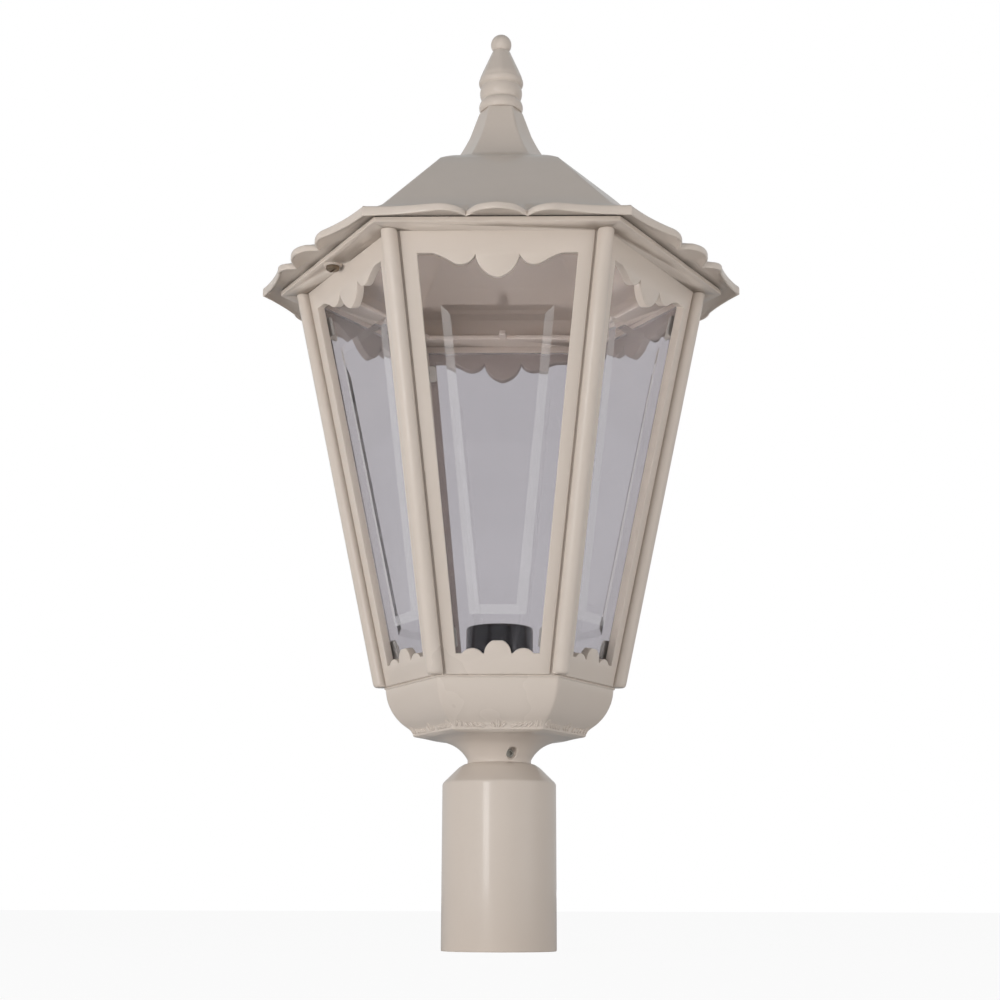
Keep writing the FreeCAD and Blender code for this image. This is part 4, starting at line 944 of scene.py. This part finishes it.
for start, end, socket in ((parts.outputs["Y"], azimuth, 0), (parts.outputs["X"], azimuth, 1),
                           (azimuth.outputs[0], folded, 0), (folded.outputs[0], beside, 0),
                           (parts.outputs["Z"], height, 0), (height.outputs[0], above, 0),
                           (beside.outputs[0], either_bevel, 0), (above.outputs[0], either_bevel, 1),
                           (either_bevel.outputs[0], strength, 0), (strength.outputs[0], bevelled, 0),
                           (glass.outputs["BSDF"], bevelled, 1), (painted_bevel_sheen.outputs["BSDF"], bevelled, 2)):
    tree.links.new(start, end.inputs[socket])
tree.links.new(is_shadow.outputs["Is Shadow Ray"], combined.inputs[0])
tree.links.new(bevelled.outputs["Shader"], combined.inputs[1])
tree.links.new(lamps_through.outputs["BSDF"], combined.inputs[2])
tree.links.new(combined.outputs["Shader"], tree.nodes["Material Output"].inputs["Surface"])
for side in sides:
    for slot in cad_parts["glass_pane_" + side].material_slots:
        slot.material = clear_glass

# ---- Corner clamps --------------------------------------------------------------------------------
# Twelve plated steel plates folded to the corner, two in each, that press on the edges of two panes.
# A pan head screw draws each against its corner post.

clamp_skins, clamp_screw_skins = [], []
for height in (174.0, 378.0):
    stations = [-7.79, -7.4, -6.6, -5.0, -2.4, -1.4, -0.7, 0.0, 0.7, 1.4, 2.4, 5.0, 6.6, 7.4, 7.79]
    path = [(-10.748 - 0.57735 * (math.hypot(across, 1.2) - 0.1), across) for across in stations]
    halves = [6.0 - max(abs(across) - 6.2, 0) ** 2 * 0.6 for across in stations]
    clamp_skins.append(folded_strip(path, halves, 1.5, lambda inward, across, up, middle=height: Vector(
        (corner_distance(middle + up) + inward, across, middle + up)) * MM))
    seat = corner_distance(height) - 13.83
    clamp_screw_skins.append(placed(driven_screw(2.9, 1.8, 1.5, 16.6, 1.7, 0.4, True),
                                    radial_turn(0, height, seat) @ Matrix.Rotation(math.pi, 4, "X")))
matt_zinc = finish("matt_zinc", srgb(206, 203, 196), srgb(190, 187, 180), metallic=0.3, drift_scale=60.0,
                   dust=0.2, smoothest=0.4, roughest=0.6)
clamps = piece_of("corner_clamps_folded", *joined(*clamp_skins), matt_zinc)
clamp_screws = piece_of("clamp_screws_crossed", *joined(*clamp_screw_skins), zinc_plate)
six_of(clamps, matt_zinc)
six_of(clamp_screws, zinc_plate)
settle(clamps, "head", "zinc_steel", "corner_clamps")
settle(clamp_screws, "head", "zinc_steel", "clamp_screws")

# ---- Top flange -----------------------------------------------------------------------------------
# Flat hexagonal ring cast in one with two ears that point inwards and two screw bosses below. It ties
# the side frames together and carries the roof.


def hexagon(circumradius):
    """Counter-clockwise corners of a hexagon with a flat to the front."""
    return [(circumradius * math.cos(math.radians(60 * corner - 120)),
             circumradius * math.sin(math.radians(60 * corner - 120))) for corner in range(6)]


def roof_screw_place(index):
    """Placement of the screws in the front left side and the side opposite."""
    turn = Matrix.Rotation(math.radians(180 * index - 60), 4, "Z")
    return turn @ Matrix.Translation((-4.0 * MM, -113.21 * MM, 0))


flange_radius, opening_radius, flange_thickness, flange_screw_reach = 139.1, 99.3, 3.0, 123.8
screw_seat = cage_head + 1.2
opening_edge = opening_radius * math.cos(math.pi / 6)
ear_tip = opening_edge - 10.0
ear = [(-2.15, -opening_edge), (-2.15, -ear_tip - 1.0), (-1.7, -ear_tip - 0.3), (-0.9, -ear_tip),
       (0.9, -ear_tip), (1.7, -ear_tip - 0.3), (2.15, -ear_tip - 1.0), (2.15, -opening_edge)]
corners = hexagon(opening_radius)
opening = [corners[0]] + ear + corners[1:4] + [(-x, -y) for x, y in ear] + corners[4:]
flange_points, flange_faces = cut_plate([softened(hexagon(flange_radius), 1.2), opening[::-1]],
                                        flange_thickness, 0.5)
flange = piece_of("top_flange_cast", [(point + Vector((0, 0, cage_head))) * MM for point in flange_points],
                  flange_faces, cream_enamel)
boss_ring = [(2.4, 400.4), (2.4, 399.5), (2.5, 399.4), (5.1, 399.4), (5.5, 399.6), (5.6, 400.0), (5.6, 400.4)]
drill(flange, [(roof_screw_place(index), 2.4, 396.0, 405.0) for index in range(2)])
sinks = []
for corner in range(6):
    place = Matrix.Rotation(math.radians(60 * corner), 4, "Z") @ Matrix.Translation(
        (flange_screw_reach * MM, 0, 0))
    sinks += [(place, 1.6, 396.0, 402.0), (place, 3.0, screw_seat, 405.0)]
drill(flange, sinks, 32)
bosses = piece_of("bosses", *joined(*[placed(revolved(boss_ring, 64), roof_screw_place(index))
                                      for index in range(2)]), cream_enamel)
cast_together(flange, bosses)
settle(flange, "head", "body_paint", "top_flange")

flange_screws = piece_of("flange_screws_countersunk", *placed(
    driven_screw(2.9, 1.7, 1.5, 10.1, 1.7, 0.4, True, 0.1),
    Matrix.Translation((flange_screw_reach * MM, 0, screw_seat * MM))), zinc_plate)
six_of(flange_screws, zinc_plate)
settle(flange_screws, "head", "zinc_steel", "flange_screws")

# ---- Gasket ---------------------------------------------------------------------------------------
# Die cut ring of dark sponge rubber that lies on the flange and seals the roof.

sponge_gasket = finish("sponge_gasket", srgb(52, 48, 45), srgb(40, 37, 35), dust=0.3, specular=0.3,
                       skin_scale=1200.0, skin_height=0.4, smoothest=0.7, roughest=0.9)
gasket_section = [(123.65, 403.3), (123.8, 403.2), (137.3, 403.2), (137.5, 403.35), (137.4, 403.7),
                  (137.5, 404.05), (137.3, 404.2), (123.8, 404.2), (123.65, 404.1)]
gasket = piece_of("roof_gasket_cut", *skin([hex_ring(r, z, 1.0) for r, z in gasket_section], closed=True),
                  sponge_gasket)
drill(gasket, [(roof_screw_place(index), 2.4, 400.0, 406.0) for index in range(2)])
settle(gasket, "head", "gasket_rubber", "roof_gasket")

# ---- Roof canopy ----------------------------------------------------------------------------------
# One hollow casting: a brim scalloped in lobes whose rim hangs past the flange, six slopes, a rounded
# shoulder and a hexagonal neck that flares in. It lies on the gasket and lifts off with its finial.

brim_apothem, lobe_corner, roof_bottom, neck_top = 120.42, (75.2, 9.8), 404.4, 524.5
brim_join, slope_top, shoulder_end, cap_end = (130.0, 414.37), (70.5, 466.4), (50.0, 475.9), (36.0, 482.4)
flare_end, stud_hole_radius, neck_ceiling = (20.0, 508.0), 4.05, 516.0
lobe_crest, lobe_notch = (36.0, 15.2), (17.0, 11.5)
# how far the rim's two edges rise or sink, by distance from the middle of a side
upper_wave = [(0.0, -1.1), (11.0, -1.5), (17.0, -3.0), (22.0, -1.9), (36.0, 0.0), (55.0, 0.1), (75.2, 0.5)]
lower_wave = [(0.0, -0.6), (12.0, -0.9), (17.0, -1.8), (22.0, -1.1), (36.0, 0.0), (55.0, -0.4), (75.2, -0.6)]


def arc_through(start, middle, end, shares):
    """Points along the arc through three points, at shares of its sweep."""
    a, m, b = Vector(start), Vector(middle), Vector(end)
    bend = 2 * (a.x * (m.y - b.y) + m.x * (b.y - a.y) + b.x * (a.y - m.y))
    if abs(bend) < 1e-6:
        return [tuple(a.lerp(b, share)) for share in shares]
    centre = Vector((
        (a.length_squared * (m.y - b.y) + m.length_squared * (b.y - a.y) + b.length_squared * (a.y - m.y)),
        (a.length_squared * (b.x - m.x) + m.length_squared * (a.x - b.x) + b.length_squared * (m.x - a.x)),
    )) / bend
    first = math.atan2(*(a - centre).yx)
    last = first + math.remainder(math.atan2(*(b - centre).yx) - first, math.tau)
    reach = (a - centre).length
    return [(centre.x + reach * math.cos(first + share * (last - first)),
             centre.y + reach * math.sin(first + share * (last - first))) for share in shares]


def brim_stations():
    """One side of the brim's edge as (across, proud of the flange's side), left to right."""
    near_corner = [0.0, 0.006, 0.014, 0.03, 0.07] + [0.14 + 0.86 * step / 10 for step in range(10)]
    corner_lobe = arc_through(lobe_corner, (55.0, 11.4), lobe_crest, near_corner)
    fall = arc_through(lobe_crest, (24.0, 16.6), lobe_notch, [step / 9 for step in range(9)])
    centre = arc_through(lobe_notch, (0.0, 20.0), (-lobe_notch[0], lobe_notch[1]),
                         [step / 18 for step in range(10)])
    right = corner_lobe + fall + centre
    left = [(-across, proud) for across, proud in right]
    return left[:-1] + right[::-1][:-1]


stations = brim_stations()


def edge_normals():
    """Outward direction of the brim's edge at each station, in its side's own plane."""
    # at the left corner the edge turns into the next side, so its direction is the corner's own
    normals = [Vector((-0.5, math.cos(math.pi / 6)))]
    closed_side = stations + [lobe_corner]
    for before, after in zip(closed_side, closed_side[2:]):
        run = (Vector(after) - Vector(before)).normalized()
        normals.append(Vector((-run.y, run.x)))
    return normals


normals = edge_normals()


def rise_at(across, wave):
    """Height of a wave along a side, between its given points."""
    for (near, low), (far, high) in zip(wave, wave[1:]):
        if abs(across) <= far:
            return low + (abs(across) - near) / (far - near) * (high - low)
    return wave[-1][1]


def brim_ring(offset, z, wave):
    """Ring along the scalloped edge, moved outwards by offset, that rises and sinks with a wave."""
    ring = []
    for side in range(6):
        turn = Matrix.Rotation(math.pi / 3 * side, 3, "Z")
        for (across, proud), normal in zip(stations, normals):
            out = brim_apothem + proud + offset * normal.y
            ring.append(turn @ Vector((across + offset * normal.x, -out, z + rise_at(across, wave))) * MM)
    return ring


def slope_ring(circumradius, z, ridge=1.8):
    """Straight hexagonal ring with as many points as the brim, its corners rounded by ridge."""
    apothem = circumradius * math.cos(math.pi / 6)
    squeeze = apothem / (brim_apothem + lobe_corner[1])
    ridge = min(ridge, circumradius * 0.2)
    reach = ridge * math.tan(math.pi / 6)
    ring = []
    for side in range(6):
        turn = Matrix.Rotation(math.pi / 3 * side, 3, "Z")
        for across, _ in stations:
            gap = max(reach - (lobe_corner[0] - abs(across)) * squeeze, 0.0)
            sink = ridge - math.sqrt(ridge ** 2 - gap ** 2)
            inward = math.copysign(sink * math.tan(math.pi / 6) * gap / reach, across)
            ring.append(turn @ Vector((across * squeeze - inward, sink - apothem, z)) * MM)
    return ring


def neck_circle(radius, z):
    """Round ring with as many points as the slopes, for the stud's hole."""
    return [point.normalized() * radius * MM + Vector((0, 0, z)) * MM
            for point in slope_ring(20.0, 0.0)]


brim_foot, brim_lip = slope_ring(139.95, roof_bottom, 1.2), brim_ring(-2.2, 401.9, lower_wave)
brim_top, join_ring = brim_ring(-1.5, 405.35, upper_wave), slope_ring(*brim_join)
roof_rings = [brim_foot]
for share, lift in ((0.2, 0.9), (0.45, 1.3), (0.75, 0.9)):
    roof_rings.append([point + Vector((0, 0, lift)) * MM
                       for point in blend_rings(brim_foot, brim_lip, share)])
roof_rings += [brim_lip] + [brim_ring(offset, z, lower_wave) for offset, z in (
    (-1.7, 401.0), (-1.2, 400.5), (-0.6, 400.45), (-0.15, 400.8), (0.0, 401.4))]
roof_rings += [brim_ring(offset, z, upper_wave) for offset, z in (
    (0.0, 403.9), (-0.2, 404.6), (-0.7, 405.1))] + [brim_top]
for share, sag in ((0.12, 0.5), (0.3, 1.0), (0.5, 1.2), (0.7, 0.9), (0.88, 0.4)):
    roof_rings.append([point - Vector((0, 0, sag)) * MM for point in blend_rings(brim_top, join_ring, share)])
roof_rings += [join_ring]
slope = [Vector(brim_join).lerp(Vector(slope_top), step / 6) for step in range(1, 7)]
roof_rings += [slope_ring(r, z) for r, z in (
    slope + arc_outline(slope_top, shoulder_end, 0.45, 8)[1:] + [(43.0, 479.15), cap_end]
    + arc_outline(cap_end, flare_end, -1.0, 10)[1:]
    + [(17.3, 515.7), (14.6, 523.3), (14.2, 524.3), (13.8, neck_top)])]
roof_rings += [neck_circle(4.4, neck_top), neck_circle(stud_hole_radius, 524.2),
               neck_circle(stud_hole_radius, neck_ceiling)]
roof_rings += [slope_ring(r, z, 3.0) for r, z in (
    (10.6, neck_ceiling), (11.0, 515.6), (16.0, 506.0), (32.0, 480.6), (68.3, 463.8), (118.6, 420.0),
    (119.0, 419.2), (119.0, 404.8), (119.4, roof_bottom))]
roof = piece_of("roof_canopy_cast", *skin(roof_rings, closed=True), cream_enamel, sharp=32.0)
drill(roof, [(roof_screw_place(index), 2.05, 400.0, 410.7) for index in range(2)], 32)
roof.data.set_sharp_from_angle(angle=math.radians(32.0))
settle(roof, "roof", "body_paint", "roof_canopy")

# ---- Finial ---------------------------------------------------------------------------------------
# Turned and faceted aluminium: three beads, an eight-sided spire with an edge to the front, and a ball.
# A plated stud, washer and nut inside the roof draw it down on the neck.

bead_section = ([(4.05, 540.9), (4.05, 525.1), (4.4, 524.7), (12.6, 524.7), (13.2, 524.9)]
                + arc_outline((13.4, 525.3), (12.0, 532.8), 1.38, 10)
                + arc_outline((12.0, 533.1), (12.8, 542.2), 1.22, 10)
                + arc_outline((12.8, 542.6), (14.0, 547.4), 0.9, 8)
                + [(13.4, 547.6), (PINHOLE, 547.6), (PINHOLE, 540.9)])


def spire_ring(circumradius, z, rounding=0.35):
    """Ring on an octagon with a corner to the front, its edges slightly rounded."""
    ring = []
    flat = circumradius * math.cos(math.pi / 8)
    for corner in range(8):
        for step in range(8):
            share = step / 8
            angle = math.pi / 4 * (corner + share) - math.pi / 2
            reach = flat / math.cos(math.pi / 4 * (share - 0.5))
            near = min(share, 1 - share)
            reach -= rounding * max(1 - near * 8, 0.0)
            ring.append(Vector((reach * math.cos(angle), reach * math.sin(angle), z)) * MM)
    return ring


spire_rings = [spire_ring(r, z) for r, z in [(13.6, 547.0), (14.2, 547.6), (14.1, 548.4), (13.9, 549.6),
                                             (13.6, 550.6), (13.1, 551.7), (12.0, 554.3), (6.1, 567.6),
                                             (5.8, 568.1), (5.2, 568.4)]]
spire_points, spire_faces = skin(spire_rings)
spire_faces += [tuple(range(64)), tuple(range(len(spire_points) - 64, len(spire_points)))]
ball_radius, ball_height = 6.7, 573.29
ball_rings = [circle(max(ball_radius * math.cos(math.radians(angle)), PINHOLE),
                     ball_height + ball_radius * math.sin(math.radians(angle)), 64)
              for angle in range(-84, 91, 6)]
finial = piece_of("finial_turned", *joined(revolved(bead_section), (spire_points, spire_faces),
                                           skin(ball_rings)), cream_enamel, sharp=38.0)
settle(finial, "roof", "body_paint", "finial")

stud_section = [(PINHOLE, 505.0), (3.4, 505.0)]
for turn_of_thread in range(28):
    stud_section += [(4.0, 505.6 + 1.25 * turn_of_thread), (3.6, 506.2 + 1.25 * turn_of_thread)]
stud_section += [(3.4, 540.5), (PINHOLE, 540.5)]
settle(piece_of("finial_stud_threaded", *skin([circle(r, z, 48) for r, z in stud_section]), zinc_plate),
       "roof", "zinc_steel", "finial_stud")
settle(piece_of("finial_nut_plated", *nut(7.5, 4.05, 508.0, 6.5), zinc_plate), "roof", "zinc_steel",
       "finial_nut")
settle(piece_of("finial_washer_punched", *revolved([(4.05, 514.7), (4.25, 514.5), (7.9, 514.5), (8.2, 514.8),
                                                    (8.2, 515.8), (8.0, 516.0), (4.1, 516.0)], 72),
                zinc_plate), "roof", "zinc_steel", "finial_washer")

# ---- Roof screws ----------------------------------------------------------------------------------
# Two slotted pan head screws from below, through the flange into the brim. Their plating is coloured
# brown, darker than the other plated parts.

brown_zinc = finish("brown_zinc", srgb(158, 144, 126), srgb(118, 102, 86), metallic=0.8,
                      drift_scale=260.0, dust=0.2, skin_scale=1400.0, skin_height=0.2,
                      smoothest=0.38, roughest=0.62)
for index, name in enumerate(("front", "back")):
    screw = piece_of("roof_screw_" + name + "_slotted", *placed(
        driven_screw(4.0, 2.4, 2.0, 11.4, 3.7, 0.5, False),
        roof_screw_place(index) @ Matrix.Translation((0, 0, 399.2 * MM)) @ Matrix.Rotation(math.pi, 4, "X")),
        brown_zinc)
    settle(screw, "roof_screw_" + name, "zinc_steel", "roof_screw_" + name)

# ---- Studio ---------------------------------------------------------------------------------------
# Plain pale floor and soft light: a tall key at front left, one on the right, and three low ones for what
# a white table throws up. Camera and glass see the surround as white, and gloss sees it greyer.

paper = bpy.data.materials.new("floor_paper")
paper.use_nodes = True
tree = paper.node_tree
matt = tree.nodes["Principled BSDF"]
matt.inputs["Base Color"].default_value = (0.90, 0.90, 0.90, 1.0)
matt.inputs["Roughness"].default_value = 0.9
bright, seen_by, whiter = tree.nodes.new("ShaderNodeEmission"), tree.nodes.new("ShaderNodeLightPath"), \
    tree.nodes.new("ShaderNodeMixShader")
share_white = tree.nodes.new("ShaderNodeMath")
share_white.operation = "MULTIPLY"
share_white.inputs[1].default_value = 0.93
tree.links.new(seen_by.outputs["Is Camera Ray"], share_white.inputs[0])
tree.links.new(share_white.outputs[0], whiter.inputs[0])
tree.links.new(matt.outputs["BSDF"], whiter.inputs[1])
tree.links.new(bright.outputs["Emission"], whiter.inputs[2])
tree.links.new(whiter.outputs["Shader"], tree.nodes["Material Output"].inputs["Surface"])
floor = piece_of("studio_floor", [(-30, -30, 0), (30, -30, 0), (30, 30, 0), (-30, 30, 0)], [(0, 1, 2, 3)],
                 paper)

world = bpy.data.worlds.new("studio")
bpy.context.scene.world = world
world.use_nodes = True
tree = world.node_tree
surround = tree.nodes["Background"]
surround.inputs["Color"].default_value = (1.0, 1.0, 1.0, 1.0)
surround.inputs["Strength"].default_value = 0.29
seen = tree.nodes.new("ShaderNodeBackground")
seen.inputs["Color"].default_value = (1.0, 1.0, 1.0, 1.0)
path, either, any_of, mixed = tree.nodes.new("ShaderNodeLightPath"), tree.nodes.new("ShaderNodeMath"), \
    tree.nodes.new("ShaderNodeMath"), tree.nodes.new("ShaderNodeMixShader")
either.operation = any_of.operation = "MAXIMUM"
tree.links.new(path.outputs["Is Camera Ray"], either.inputs[0])
tree.links.new(path.outputs["Is Transmission Ray"], either.inputs[1])
tree.links.new(either.outputs[0], any_of.inputs[0])
greyer = tree.nodes.new("ShaderNodeMath")
greyer.operation = "MULTIPLY"
greyer.inputs[1].default_value = 0.4
tree.links.new(path.outputs["Is Glossy Ray"], greyer.inputs[0])
tree.links.new(greyer.outputs[0], any_of.inputs[1])
tree.links.new(any_of.outputs[0], mixed.inputs[0])
tree.links.new(surround.outputs[0], mixed.inputs[1])
tree.links.new(seen.outputs[0], mixed.inputs[2])
tree.links.new(mixed.outputs[0], tree.nodes["World Output"].inputs["Surface"])


def softbox(name, place, aim, width, height, power, mirrored):
    """Square lamp that faces a point; only a mirrored one shows in gloss."""
    lamp = bpy.data.lights.new(name, "AREA")
    lamp.shape, lamp.size, lamp.size_y, lamp.energy = "RECTANGLE", width, height, power
    holder = bpy.data.objects.new(name, lamp)
    holder.location = place
    holder.visible_glossy = mirrored
    holder.rotation_euler = (Vector(aim) - Vector(place)).to_track_quat("-Z", "Y").to_euler()
    bpy.context.scene.collection.objects.link(holder)


softbox("key_softbox", (-0.8, -1.75, 0.15), (0, 0, 0.3), 0.4, 0.9, 5.69, True)
softbox("low_softbox", (0.1, -1.2, 0.02), (0, 0, 0.35), 1.2, 0.3, 1.54, False)
softbox("right_softbox", (1.7, -1.0, 0.25), (0, 0, 0.3), 0.8, 1.2, 6.82, False)
softbox("low_left_softbox", (-0.9, -0.7, 0.02), (0, 0, 0.38), 0.8, 0.3, 12.15, False)
softbox("low_right_softbox", (0.9, -0.6, 0.02), (0, 0, 0.38), 0.8, 0.3, 4.26, False)

# a small lamp inside, aimed up, stands in for the white room that lights the roof through the glass
glow = bpy.data.lights.new("inner_glow", "AREA")
glow.shape, glow.size, glow.energy, glow.spread = "DISK", 0.05, 0.1, math.radians(80)
glow_holder = bpy.data.objects.new("inner_glow", glow)
glow_holder.location = (0, 0, 0.22)
glow_holder.rotation_euler = (math.pi, 0, 0)
glow_holder.visible_camera = glow_holder.visible_glossy = glow_holder.visible_transmission = False
bpy.context.scene.collection.objects.link(glow_holder)

lens = bpy.data.cameras.new("photo_camera")
lens.sensor_width = 36.0
lens.lens = 61.96
lens.clip_start, lens.clip_end = 0.01, 100.0
camera = bpy.data.objects.new("photo_camera", lens)
turn = math.radians(1.0)
distance, height, pitch, roll = 1.0261, 0.02306, math.radians(13.40), math.radians(0.154)
camera.location = (distance * math.sin(turn), -distance * math.cos(turn), height)
camera.rotation_mode = "QUATERNION"
camera.rotation_quaternion = (Matrix.Rotation(turn, 4, "Z") @ Matrix.Rotation(math.pi / 2 + pitch, 4, "X")
                              @ Matrix.Rotation(roll, 4, "Z")).to_quaternion()
bpy.context.scene.collection.objects.link(camera)
bpy.context.scene.camera = camera
bpy.context.scene.view_settings.view_transform = "Standard"
